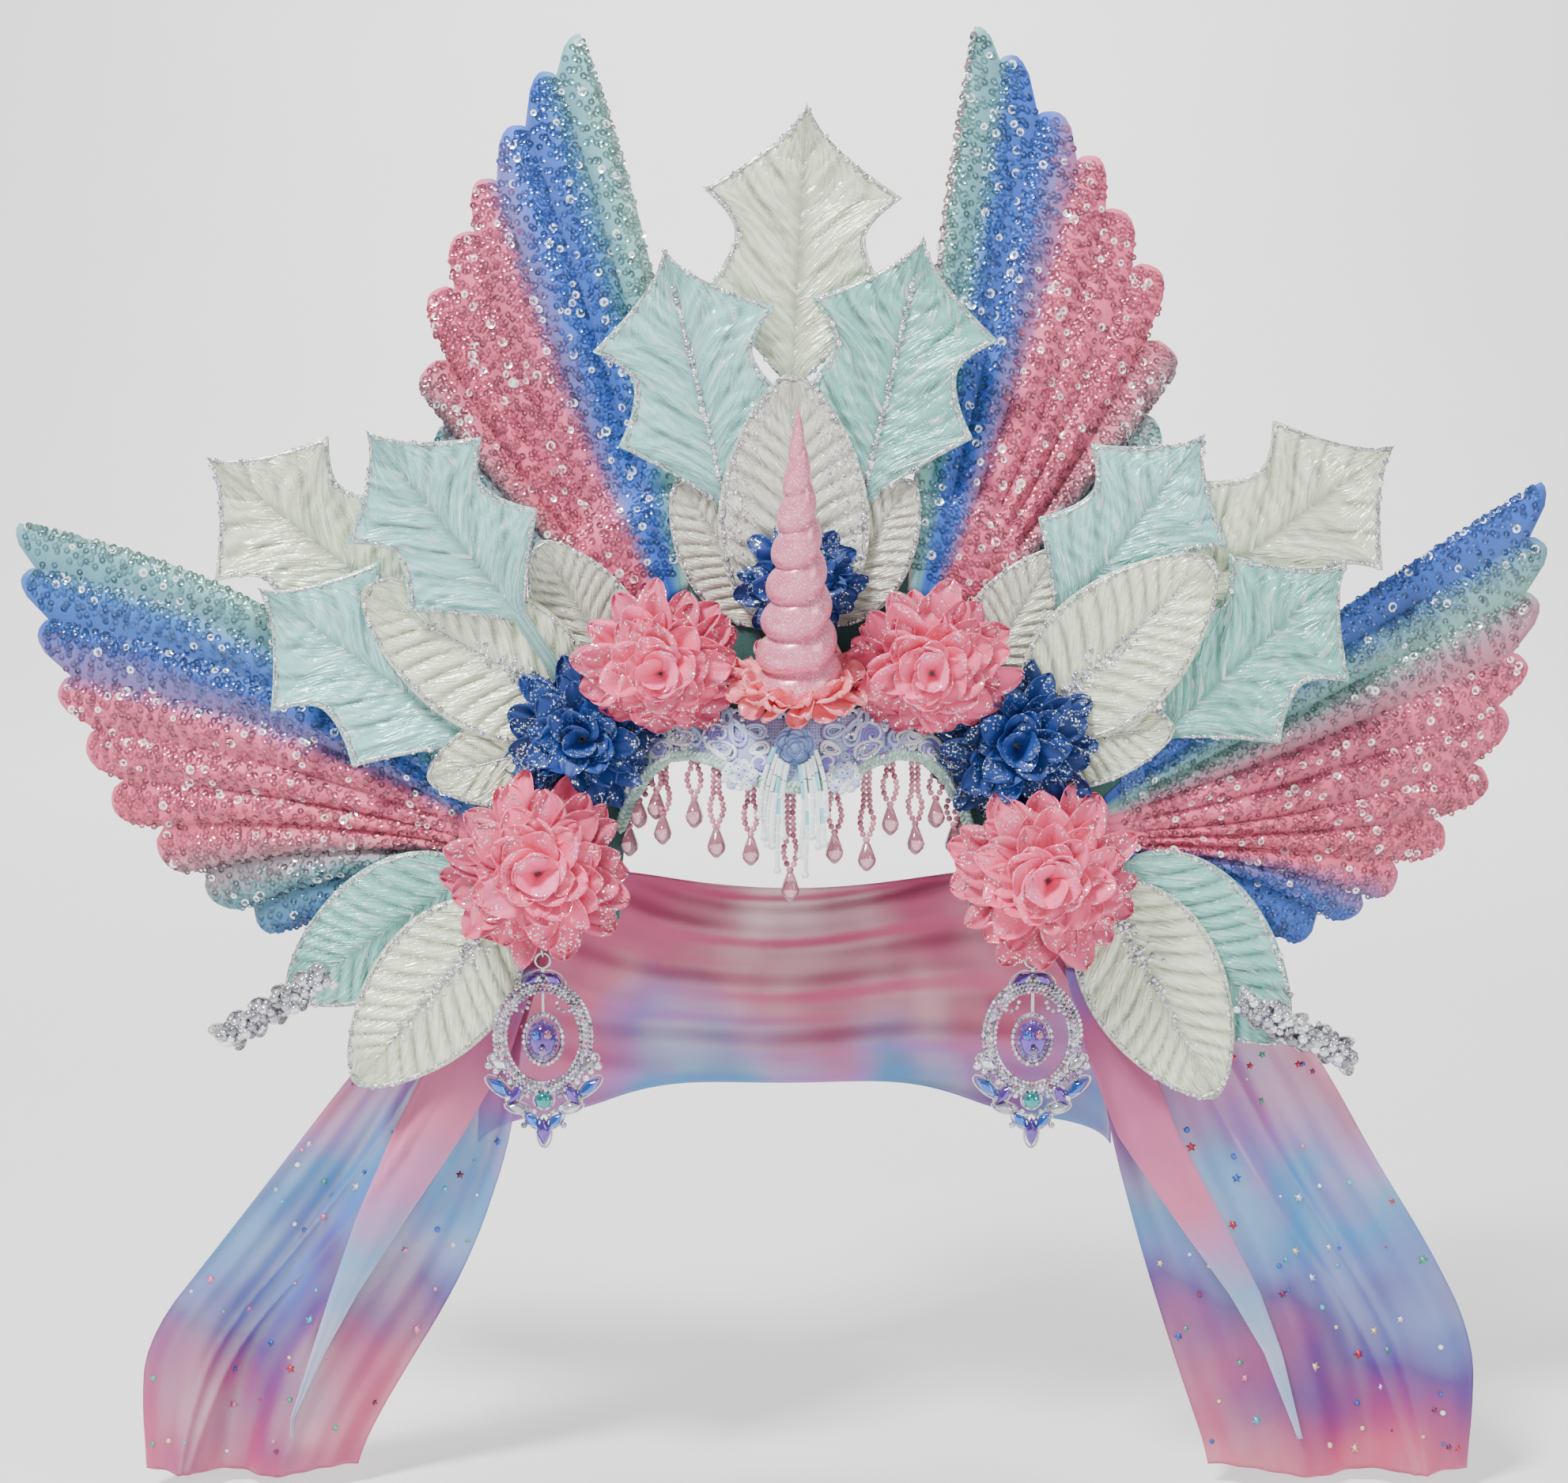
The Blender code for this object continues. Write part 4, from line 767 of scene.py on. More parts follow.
def slab(front, back):
    """A closed sheet between two grids of points, with its cloth map over the grid."""
    front, back = np.asarray(front, float), np.asarray(back, float)
    rows, columns = front.shape[:2]
    index = grid_index(rows, columns)
    faces = grid_faces(index)
    rim = np.concatenate((index[0], index[1:, -1], index[-1, -2::-1], index[-2:0:-1, 0]))
    behind = rows * columns
    sides = np.stack((rim, rim + behind, np.roll(rim, -1) + behind, np.roll(rim, -1)), -1)
    quads = np.concatenate((faces[:, ::-1], faces + behind, sides[:, ::-1]))
    along, across = np.meshgrid(np.linspace(0, 1, rows), np.linspace(0, 1, columns), indexing="ij")
    cloth = np.stack((across, along), -1).reshape(-1, 2)
    return Shape(np.concatenate((front.reshape(-1, 3), back.reshape(-1, 3))), quads.reshape(-1),
                 np.full(len(quads), 4), np.concatenate((cloth, cloth)))


def tube(path, radius, sides=6, closed=False, flat=1.0):
    """A cord along a path, with flat below 1 for one pressed towards the path's front."""
    path = np.asarray(path, float)
    count = len(path)
    if closed:
        tangent = np.roll(path, -1, 0) - np.roll(path, 1, 0)
    else:
        tangent = np.gradient(path, axis=0)
    tangent /= np.linalg.norm(tangent, axis=1)[:, None] + 1e-9
    front = np.tile((0.0, -1.0, 0.0), (count, 1))
    front[np.abs(tangent[:, 1]) > 0.85] = (0.0, 0.0, 1.0)
    side = np.cross(tangent, front)
    side /= np.linalg.norm(side, axis=1)[:, None] + 1e-9
    front = np.cross(side, tangent)
    angles = full_turn(sides)[None, :, None]
    radii = np.broadcast_to(np.asarray(radius, float), (count,))[:, None, None]
    points = path[:, None] + radii * (np.cos(angles) * side[:, None] + flat * np.sin(angles) * front[:, None])
    index = grid_index(count, sides, closed, True)
    quads = grid_faces(index)
    loops, totals = quads.reshape(-1), np.full(len(quads), 4)
    if not closed:
        caps = np.concatenate((index[0, :-1][::-1], index[-1, :-1]))
        loops, totals = np.concatenate((loops, caps)), np.concatenate((totals, (sides, sides)))
    return Shape(points.reshape(-1, 3), loops, totals, None)


def turned_axes(normals, alongs, sizes_xyz):
    """Axes that face along the normals, with x near the alongs, scaled by the sizes. One of each serves for all."""
    normals, alongs, scale = np.broadcast_arrays(
        *(np.atleast_2d(np.asarray(part, float)) for part in (normals, alongs, sizes_xyz)))
    z = normals / (np.linalg.norm(normals, axis=1)[:, None] + 1e-9)
    x = alongs - (alongs * z).sum(1)[:, None] * z
    x /= np.linalg.norm(x, axis=1)[:, None] + 1e-9
    return np.stack((x, np.cross(z, x), z), -1) * scale[:, None]


def mix(a, b, share):
    return tuple(p + (q - p) * share for p, q in zip(a, b))


# Units, each modelled once and then copied

def deselect_all():
    bpy.ops.object.select_all(action="DESELECT")


def new_primitive(add, **settings):
    deselect_all()
    add(**settings)
    return bpy.context.object


def flat_disc(vertices, radius):
    return new_primitive(bpy.ops.mesh.primitive_circle_add, vertices=vertices, radius=radius,
                         fill_type="NGON")


def edit_all():
    bpy.ops.object.mode_set(mode="EDIT")
    bpy.ops.mesh.select_all(action="SELECT")


def raised(obj, *steps):
    """Extrudes a disc in steps of height and growth, and turns its faces outwards."""
    edit_all()
    for height, growth in steps:
        bpy.ops.mesh.extrude_region_move(TRANSFORM_OT_translate={"value": (0, 0, height)})
        bpy.ops.transform.resize(value=(growth, growth, 1))
    bpy.ops.mesh.select_all(action="SELECT")
    bpy.ops.mesh.normals_make_consistent(inside=False)
    bpy.ops.object.mode_set(mode="OBJECT")
    return obj


def unit_of(obj, cloth=None):
    """Takes an object's mesh as a shape, and removes the object."""
    if obj.mode == "EDIT":
        bpy.ops.object.mode_set(mode="OBJECT")
    mesh = obj.data
    points = np.empty(len(mesh.vertices) * 3)
    mesh.vertices.foreach_get("co", points)
    points = points.reshape(-1, 3)
    loops = np.empty(len(mesh.loops), int)
    mesh.loops.foreach_get("vertex_index", loops)
    totals = np.empty(len(mesh.polygons), int)
    mesh.polygons.foreach_get("loop_total", totals)
    bpy.data.objects.remove(obj)
    return Shape(points, loops, totals, None if cloth is None else cloth(points))


def sequin_unit():
    """A cupped ring round its sewing hole, 1 in radius, facing +z."""
    obj = flat_disc(8, 1.0)
    edit_all()
    bpy.ops.mesh.inset(thickness=0.56)
    bpy.ops.transform.translate(value=(0, 0, -0.16))
    bpy.ops.mesh.delete(type="FACE")
    return unit_of(obj)


def stone_unit():
    """A cut stone with a flat table, facing +z, 1 in radius."""
    return unit_of(raised(flat_disc(8, 0.75), (0.35, 1.333), (0.42, 0.55)))


def marquise_unit():
    """A cut stone pointed at both ends of y, facing +z."""
    obj = raised(flat_disc(12, 0.8), (0.35, 1.25), (0.45, 0.5))
    for vertex in obj.data.vertices:
        reach = math.hypot(vertex.co.x, vertex.co.y)
        vertex.co.x *= 1 - abs(vertex.co.y / reach) ** 1.6
    return unit_of(obj)


def bead_unit():
    return unit_of(new_primitive(bpy.ops.mesh.primitive_uv_sphere_add, segments=8, ring_count=5, radius=1.0))


def bugle_unit():
    """A glass tube bead along z, 1 in radius and 2 long, with its two ends inset."""
    obj = new_primitive(bpy.ops.mesh.primitive_cylinder_add, vertices=7, radius=1.0, depth=2.0)
    edit_all()
    bpy.ops.mesh.select_all(action="DESELECT")
    bpy.ops.object.mode_set(mode="OBJECT")
    for face in obj.data.polygons:
        face.select = len(face.vertices) > 4
    bpy.ops.object.mode_set(mode="EDIT")
    bpy.ops.mesh.select_mode(type="FACE")
    bpy.ops.mesh.inset(thickness=0.45)
    return unit_of(obj)


def drop_unit():
    """A faceted pear drop, its point up at z = 0 and its foot at z = -1."""
    return unit_of(raised(flat_disc(7, 0.07), (-0.10, 1.8), (-0.26, 1.8), (-0.26, 1.36), (-0.16, 0.86),
                          (-0.18, 0.40), (-0.04, 0.4)))


def star_unit():
    """A thin five-pointed star, 1 in radius."""
    obj = flat_disc(10, 1.0)
    for number, vertex in enumerate(obj.data.vertices):
        if number % 2:
            vertex.co *= 0.45
    return unit_of(raised(obj, (0.08, 1.0)))


def petal_unit(curl_deg, cup, wave, thickness, kind):
    """A petal 1 long and 1 wide along +y, cupped towards +z, with a broad round tip. kind varies its crumples."""
    obj = new_primitive(bpy.ops.mesh.primitive_grid_add, x_subdivisions=7, y_subdivisions=10, size=1.0)
    curl = math.radians(curl_deg)
    widest = 0.58 + 0.06 * (kind % 3)
    for vertex in obj.data.vertices:
        across, along = vertex.co.x * 2, math.sin(math.pi / 2 * (vertex.co.y + 0.5))
        if along < widest:
            half = 0.5 * (0.26 + 0.74 * math.sin(math.pi / 2 * along / widest))
        else:
            half = 0.5 * math.sqrt(max(0.004, 1 - ((along - widest) / (1.002 - widest)) ** 2))
        turn = max(0.01, curl * (along - 0.35 * max(0.0, along - 0.7) * (kind % 2 + 1) * 3))
        reach = along * math.sin(turn) / turn
        lift = curl * along * along / 2 - 0.30 * max(0.0, along - 0.72) * (kind % 3)
        crumple = math.sin(across * (4 + kind) + kind) + 0.6 * math.sin(along * 9 + across * 3 + kind * 2)
        vertex.co.x = across * half + 0.05 * math.sin(kind * 2 + along * 4) * along
        vertex.co.y = reach - 0.03 * math.cos(across * 6 + kind) * max(0.0, along - 0.6)
        vertex.co.z = lift + cup * across * across * half * (1 - 0.5 * along) + wave * along * crumple
    wall = obj.modifiers.new("wall", "SOLIDIFY")
    wall.thickness = thickness
    wall.offset = 0
    bpy.context.view_layer.objects.active = obj
    bpy.ops.object.modifier_apply(modifier="wall")
    return unit_of(obj, lambda points: np.column_stack((points[:, 0] + 0.5, points[:, 1])))


UNITS = {}
UNIT_MAKERS = {
    "sequin": sequin_unit, "stone": stone_unit, "marquise": marquise_unit, "bead": bead_unit,
    "bugle": bugle_unit, "drop": drop_unit, "star": star_unit, "petal": petal_unit,
}


def unit(name, *settings):
    """A unit made once, by name and settings."""
    key = (name, *settings)
    if key not in UNITS:
        UNITS[key] = UNIT_MAKERS[name](*settings)
    return UNITS[key]


# Wings

def bezier(start, bend, end, share):
    return mix(mix(start, bend, share), mix(bend, end, share), share)


def three_way(lead, middle, trail, share):
    return mix(lead, middle, share * 2) if share < 0.5 else mix(middle, trail, share * 2 - 1)


def feather_end(wing, feather, across):
    """Where the line at across, -1 to 1, of one feather ends: its round tip, down to the notches beside it."""
    tip = wing.tips[feather]
    if across == 0:
        return tip
    last = len(wing.tips) - 1
    other = feather - 1 if across < 0 else feather + 1
    if not 0 <= other <= last:
        return tip if across < 0 else mix(tip, wing.root_trail, 0.12 * across * across)
    upper, lower = (wing.tips[other], tip) if across < 0 else (tip, wing.tips[other])
    apart = math.dist(upper, lower)
    inward = Vector(wing.bend_mid) - Vector(lower)
    notch = Vector(mix(lower, upper, NOTCH_SIDEWAYS)) + inward.normalized() * apart * NOTCH_INWARD
    share = 1 - math.sqrt(1 - across * across)
    sideways, lengthways = mix(tip, notch, abs(across)), mix(tip, notch, share)
    along = (Vector(wing.bend_mid) - Vector(tip)).normalized()
    step = Vector(sideways) - Vector(tip)
    wanted = (Vector(lengthways) - Vector(tip)).dot(along)
    return tuple(Vector(tip) + step - along * (step.dot(along) - wanted))


def wing_point(wing, line, share, face=0):
    """A point of the wing's front, or of its back with face 1. line counts feathers from the leading edge."""
    feathers = len(wing.tips)
    feather = min(feathers - 1, int(line))
    across = min(1.0, max(-1.0, 2 * (line - feather) - 1))
    spread = line / feathers
    root = mix(wing.root_lead, wing.root_trail, spread)
    bend = three_way(wing.bend_lead, wing.bend_mid, wing.bend_trail, spread)
    x, z = bezier(root, bend, feather_end(wing, feather, across), share)
    y = CREST_BACK_Y + SEAT_GAP + WING_LEAN * math.dist((x, z), root)
    fill = math.sin(math.pi * min(1.0, share * 1.05) ** 1.2)
    quilt = 0.04 + 0.96 * (1 - abs(across) ** 1.9)
    rim = min(1.0, spread * 8, (1 - spread) * 8)
    puckers = 0.14 * math.sin(23 * share + 2.6 * feather) * math.sin(9 * line + 5 * share)
    puff = WING_PUFF * (0.25 + 0.75 * fill) * quilt * rim * (1 + puckers)
    puff *= min(1.0, (1 - share) * 14)
    if face == 0:
        return x, y - WING_FRONT_SHARE * puff, z
    thick = WING_ROOT_THICK + (WING_EDGE_THICK - WING_ROOT_THICK) * share
    return x, y + thick + (1 - WING_FRONT_SHARE) * puff, z


def over_crest(x, z):
    """How far a place is outside the crest's edge, 0 or less on the crest itself, in millimetres."""
    reach = math.hypot(x / CREST_HALF_WIDTH, (z - CREST_CENTRE_Z) / CREST_HALF_HEIGHT)
    return (reach - 1) * CREST_HALF_HEIGHT


def cloth_point(wing, line, share):
    """A point of the wing's outer cloth, which runs on over the crest's front down to the wing's root."""
    x, y, z = wing_point(wing, line, share)
    off = over_crest(x, z)
    if off < 16:
        blend = max(0.0, off / 16)
        blend = blend * blend * (3 - 2 * blend)
        y = (CREST_FRONT_Y - 0.2) * (1 - blend) + y * blend
    return x, y, z


def wing_dye(wing, spread):
    """The cloth's colour at a share of the way across the wing, as deep as it looks between its sequins."""
    places = [at for at, _ in wing.dyes]
    shades = [linear(code) for _, code in wing.dyes]
    return np.array([np.interp(spread, places, [shade[k] ** 1.6 for shade in shades]) for k in range(3)])


def wing_body(wing):
    feathers, steps, rows = len(wing.tips), 8, 40
    lines = [min(feathers - 1e-6, i / steps) for i in range(feathers * steps + 1)]
    # the cloth is darker towards the edges of each feather: painted shade in the valleys between the feathers
    dyes = np.array([wing_dye(wing,
                              line / feathers) * (1 - 0.35 * abs(2 * (line % 1) - 1) ** 4) for line in lines])
    grids = [[[wing_point(wing, line, row / rows, face) for line in lines] for row in range(rows + 1)]
             for face in (0, 1)]
    pile = Pile()
    dye = np.tile(dyes, (rows + 1, 1))
    pile.add(slab(*grids), np.concatenate((dye, dye * 0.8)))
    made = pile.piece(wing.name + "_pad", "padding", "sequin", (wing.name,), recalc=True)
    last = next(s for s in range(1, 60) if over_crest(*wing_point(wing, feathers / 2, s / 60)[::2]) > 14) / 60
    front = [[cloth_point(wing, line, last * row / 14) for line in lines] for row in range(15)]
    tongue = Pile()
    dye = np.tile(dyes, (15, 1))
    tongue.add(slab(front, [[(x, y + 0.12, z) for x, y, z in row] for row in front]), np.concatenate((dye,
                                                                                                      dye)))
    tongue.piece(wing.name + "_root_cloth", "padding", "sequin", recalc=True)


def wing_sequins(wing, draw):
    """Rows of sequins down each feather, each row half a step across from the last."""
    pitch, radius = sizes().sequin_pitch / MM, sizes().sequin_diameter / MM / 2
    centres, normals, alongs, dyes, radii = [], [], [], [], []
    feathers = len(wing.tips)
    for feather in range(feathers):
        middle = [Vector(wing_point(wing, feather + 0.5, s / 40)) for s in range(41)]
        length = sum((b - a).length for a, b in zip(middle, middle[1:]))
        rows = int(length / pitch)
        for row in range(rows):
            share = 0.05 + 0.945 * (row + 0.5) / rows
            edge = [Vector(wing_point(wing, feather + t / 8, share)) for t in range(9)]
            width = sum((b - a).length for a, b in zip(edge, edge[1:]))
            count = max(1, round(width / (pitch * 1.08)))
            for number in range(count):
                if draw.random() < 0.14:
                    continue
                across = (number + (0.25 if row % 2 else 0.75) + draw.uniform(-0.2, 0.2)) / count
                line = feather + min(0.995, max(0.005, across))
                down = min(0.985, max(0.05, share + draw.uniform(-0.55, 0.55) * pitch / length))
                here = Vector(cloth_point(wing, line, down))
                ahead = Vector(cloth_point(wing, line, down + 0.01))
                aside = Vector(cloth_point(wing, min(line + 0.04, feather + 0.999), down))
                along = ahead - here
                side = aside - here
                normal = along.cross(side)
                if normal.length < 1e-9:
                    continue
                normal.normalize()
                if normal.y > 0:
                    normal.negate()
                swing = math.tan(sizes().sequin_tilt)
                if over_crest(here.x, here.z) < 4:
                    swing *= 0.2
                normal += Vector((draw.uniform(-swing, swing), 0, draw.uniform(-swing, swing)))
                centres.append(here + normal.normalized() * 0.3)
                normals.append(normal.normalized())
                alongs.append(along)
                dye = wing_dye(wing, min(1.0, max(0.0, line / feathers + draw.gauss(0, 0.015))))
                light, size = draw.uniform(0.26, 0.85), radius
                # about one sequin in twenty is painted white, brighter and larger: a painted glint
                if draw.random() < 0.05:
                    dye, light, size = np.array((1.0, 1.0, 1.0)), 1.4, radius * draw.uniform(0.95, 1.5)
                # sequins near a feather's edges are darker: painted shade in the valleys between the feathers
                light *= 1 - 0.3 * abs(2 * (line % 1) - 1) ** 4
                dyes.append(np.minimum(1.0, dye * light))
                radii.append([size])
    pile = Pile()
    pile.add_copies(unit("sequin"), centres, turned_axes(normals, alongs, radii), dyes)
    pile.piece(wing.name + "_sequins", "sequin", "sequin", sharp_deg=0)


# Leaves

def half_width(leaf, along):
    """Half the width of a leaf's cut, as a share of the leaf's length."""
    if leaf.cut == "oval":
        return 0.29 * math.sin(math.pi * min(1.0, along) ** 0.8) ** 0.6 if 0 < along < 1 else 0.012
    if along < 0.31:
        return 0.03 + 0.32 * (along / 0.31) ** 1.15
    if along < 0.53:
        return 0.235 + 0.115 * ((0.53 - along) / 0.22) ** 1.7
    if along < 0.68:
        return 0.235 + 0.125 * ((along - 0.53) / 0.15) ** 1.7
    return 0.36 * ((1 - along) / 0.32) ** 1.55


def leaf_y(leaf, x, z, raised):
    away = max(0.0, math.dist((x, z), leaf.hub) - LEAF_FLAT_RADIUS)
    y = LEAF_FIRST_Y - LEAF_STEP * leaf.layer - LEAF_LEAN_STEP * leaf.layer * away
    return y - raised * min(1.0, away / 40)


def leaf_point(leaf, along, side):
    """A point of the leaf's front, with along from base to tip and side from -1 to 1."""
    base, tip = Vector(leaf.base), Vector(leaf.tip)
    length = (tip - base).length
    axis = (tip - base) / length
    across = Vector((axis.y, -axis.x))
    rib = 0.93 + 0.07 * abs(side) if 0 < along < 1 else 1.0
    place = base + axis * (along * length * rib) + across * (side * half_width(leaf, along) * length)
    y = leaf_y(leaf, place.x, place.y, leaf.fold * abs(side) * math.sin(math.pi * along)) - LEAF_THICK / 2
    return place.x, y + leaf_relief(leaf, along, side), place.y


def leaf_relief(leaf, along, side):
    """Pressed veins and gathers of the satin, positive away from the viewer."""
    if not 0 < along < 1:
        return 0.0
    off = abs(side) * half_width(leaf, along)
    body = min(1.0, 6 * along) * min(1.0, 6 * (1 - along)) * (1 - abs(side) ** 6)
    turn = (1 if side > 0 else -1) * 0.7 + leaf.base[0] * 0.37
    if leaf.cut == "oval":
        # close ribs that leave the midrib steeply and bend outwards
        phase = 12.0 * (along - 0.85 * off + 1.3 * off * off) + 0.22 * math.sin(9 * along + turn)
        ridge = abs(math.sin(math.pi * phase)) ** 0.6
        return body * (1.7 * (0.62 - ridge) * min(1.0, abs(side) * 4) + 0.5 * math.exp(-(side / 0.07) ** 2))
    # six main veins each side, with finer gathers between them
    phase = 6.0 * (along - 1.0 * off) + 0.16 * math.sin(11 * along + 3 * turn)
    vein = abs(math.sin(math.pi * phase)) ** 0.6
    gathers = 0.6 * math.sin(2 * math.pi * (15 * (along - 0.5 * off)) + 2.6 * math.sin(7 * off / 0.3 + turn))
    gathers += 0.45 * math.sin(2 * math.pi * (21 * (along - 0.9 * off)) + 3.1 * math.sin(8 * along + 2 * turn))
    return body * (1.15 * (0.62 - vein) * min(1.0, abs(side) * 3) + 0.52 * gathers * min(1.0, abs(side) * 3)
                   + 0.6 * math.exp(-(side / 0.07) ** 2))


def painted_satin_light(leaf, along, side):
    """How light the satin is painted at a point of the leaf: a painted highlight on its ridges and painted shade
    between them.
    """
    return min(1.35, max(0.42, 0.95 - 0.62 * leaf_relief(leaf, along, side)))


def leaf_body(leaf):
    rows, columns = 110, 42
    sides = [2 * c / columns - 1 for c in range(columns + 1)]
    front = []
    stem = Vector(leaf.base) - Vector(leaf.hub)
    if stem.length > STEM_STOP + 5:
        sideways = Vector((stem.y, -stem.x)).normalized() * STEM_HALF_WIDTH
        for reach in (STEM_STOP, LEAF_FLAT_RADIUS):
            if reach < stem.length - 5:
                place = Vector(leaf.hub) + stem.normalized() * reach
                row = [place + sideways * side for side in sides]
                front.append([(p.x, leaf_y(leaf, p.x, p.y, 0) - LEAF_THICK / 2, p.y) for p in row])
    stem_rows = len(front)
    # the stem rows are a flat 0.8; the blade's rows carry the painted highlights and painted shade of its ridges and
    # valleys
    shades = [[0.8] * len(sides) for _ in front]
    for row in range(rows + 1):
        front.append([leaf_point(leaf, row / rows, side) for side in sides])
        shades.append([painted_satin_light(leaf, row / rows, side) for side in sides])
    back = [[(x, y + LEAF_THICK * (1 if number < stem_rows else 0.9), z) for x, y, z in row]
            for number, row in enumerate(front)]
    pile = Pile()
    dye = np.array(shades).reshape(-1, 1) * np.array(linear(SATIN_DYES[leaf.dye]))
    pile.add(slab(front, back), np.minimum(1.0, np.concatenate((dye, dye))))
    finish = "frosted" if leaf.rib == "frosted" else "satin"
    pile.piece(leaf.name + "_satin", finish, frame_slot(leaf.name), (leaf.name,), recalc=True)


def frame_slot(node_name):
    """The record's material slot of a node."""
    for part in frame["record"]["subparts"]:
        if part["node"] == node_name:
            return part["material_slot"]
    raise ValueError(f"{node_name} is not in the record")


def leaf_outline(leaf, step, inset=0.0):
    """Points about a step apart just inside the blade's edge, up one side and down the other."""
    edge = 1 - inset
    fine = [leaf_point(leaf, 0.04 + 0.94 * i / 120, -edge) for i in range(121)]
    fine += [leaf_point(leaf, 0.04 + 0.94 * i / 120, edge) for i in range(120, -1, -1)]
    return even_points(fine, step)


def even_points(points, step):
    """The same path in equal steps."""
    points = np.asarray(points, float)
    runs = np.concatenate(([0], np.cumsum(np.linalg.norm(np.diff(points, axis=0), axis=1))))
    count = max(2, int(runs[-1] / step) + 1)
    wanted = np.linspace(0, runs[-1], count)
    return np.column_stack([np.interp(wanted, runs, points[:, k]) for k in range(3)])


def leaf_trim(leaf, draw):
    """A thin line of glitter just inside the edge, and stones strewn along it and along the rib."""
    line = sizes().trim_cord / MM / 2
    rim = leaf_outline(leaf, 2.0, 0.07)
    rib = even_points([leaf_point(leaf, 0.06 + 0.84 * i / 60, 0.0) for i in range(61)], 2.0)
    pile = Pile()
    wobble = np.array([draw.uniform(0.45, 1.25) for _ in rim])
    pile.add(tube(rim + (0, 0.15, 0), line * wobble, 5, flat=0.6))
    if leaf.rib != "plain":
        pile.add(tube(rib + (0, 0.1, 0), np.linspace(line * 1.3, line * 0.5, len(rib)), 5, flat=0.6))
    pile.piece(leaf.name + "_glitter", "glitter", frame_slot(leaf.name), recalc=True)
    radius = sizes().rhinestone / MM / 2
    spots = [(spot, 0.8, 0.6) for spot in leaf_outline(leaf, 2.6, 0.06) if draw.random() < 0.5]
    if leaf.rib == "beaded":
        spots += [(spot, 1.0, 0.5) for spot in even_points(rib, 2.3)]
        spots += [(spot, 0.6, 1.6) for spot in even_points(rib, 3.0)]
    elif leaf.rib == "clustered":
        for _ in range(120):
            share = abs(draw.gauss(0.12, 0.3))
            if share < 0.9:
                spots.append((np.array(leaf_point(leaf, 0.08 + share * 0.84, draw.gauss(0, 0.09))), 0.75,
                              1.2))
    elif leaf.rib == "frosted":
        for _ in range(160):
            side = draw.choice((-1, 1)) * (1 - abs(draw.gauss(0, 0.22)))
            if abs(side) < 0.97:
                spots.append((np.array(leaf_point(leaf, draw.uniform(0.25, 0.97), side)), 0.55, 0.5))
    centres, sizes_of, normals = [], [], []
    for spot, size, stray in spots:
        centres.append((spot[0] + draw.uniform(-stray, stray), spot[1] + 0.1, spot[2] + draw.uniform(-stray,
                                                                                                     stray)))
        sizes_of.append([radius * size * draw.uniform(0.6, 1.3)])
        normals.append((draw.uniform(-0.35, 0.35), -1, draw.uniform(-0.35, 0.35)))
    dyes = [linear(draw.choice(("F4F4F4", "A4A7AC", "C4C6CC", "D5D2E2", "FFFFFF"))) for _ in centres]
    pile = Pile()
    pile.add_copies(unit("stone"), centres, turned_axes(normals, (1, 0, 0.1), sizes_of), dyes)
    pile.piece(leaf.name + "_stones", "stone", "rhinestone", sharp_deg=0)


# Flowers

def petal_lie(out, forward, lift_deg, roll):
    """Which way a petal's side, length and face point, lifted from out towards forward."""
    lift = math.radians(lift_deg)
    along = out * math.cos(lift) + forward * math.sin(lift)
    face = forward * math.cos(lift) - out * math.sin(lift)
    side = (along.cross(face) + face * roll).normalized()
    return side, along, side.cross(along).normalized()


def flower_body(flower, draw):
    """Tiers of petals round an eye that faces the viewer."""
    tiers, dye = (PINK_TIERS, colours().pink) if flower.dye == "pink" else (BLUE_TIERS, colours().blue)
    low = UPPER_FLOWER_LOW_PETALS if "pink_upper" in flower.name else 1.0
    radius = flower.radius
    pile = Pile()
    for tier_number, tier in enumerate(tiers):
        y = flower.back_y - 0.5 - tier_number * flower.depth * 0.12
        for number in range(tier.count):
            angle = 2 * math.pi * (number + 0.5 * (tier_number % 2) + draw.uniform(-0.3, 0.3)) / tier.count
            out = Vector((math.cos(angle), 0, math.sin(angle)))
            side, along, face = petal_lie(out, Vector((0, -1, 0)), tier.lift + draw.uniform(-10, 10),
                                          draw.uniform(-0.45, 0.45))
            length = radius * tier.length * draw.uniform(0.9, 1.06) * (1 - (1 - low) * max(0.0,
                                                                                           -math.sin(angle)))
            wide = radius * tier.width * draw.uniform(0.88, 1.16)
            start = Vector((flower.centre[0], y, flower.centre[1])) + out * radius * tier.start
            start.y -= draw.uniform(0, 0.05) * radius
            light = (0.86 + 0.09 * tier_number) * draw.uniform(0.80, 1.22)
            pile.add_copies(unit("petal", tier.curl, 0.30, 0.035, 0.010, draw.randrange(4)), [start],
                            np.column_stack((side * wide, along * length, face * length)), lit(dye, light))
    pile.piece(flower.name + "_petals", "chiffon", frame_slot(flower.name), (flower.name,))


# Horn and ruffle

def horn_place(points):
    """From the horn's own axes, foot at the origin and point up, to its place on the crown."""
    lean = math.radians(HORN_LEAN_DEG)
    points = np.asarray(points, float)
    y = points[..., 1] * math.cos(lean) - points[..., 2] * math.sin(lean)
    z = points[..., 1] * math.sin(lean) + points[..., 2] * math.cos(lean)
    return np.stack((points[..., 0] + HORN_FOOT[0], y + HORN_FOOT[1], z + HORN_FOOT[2]), -1)


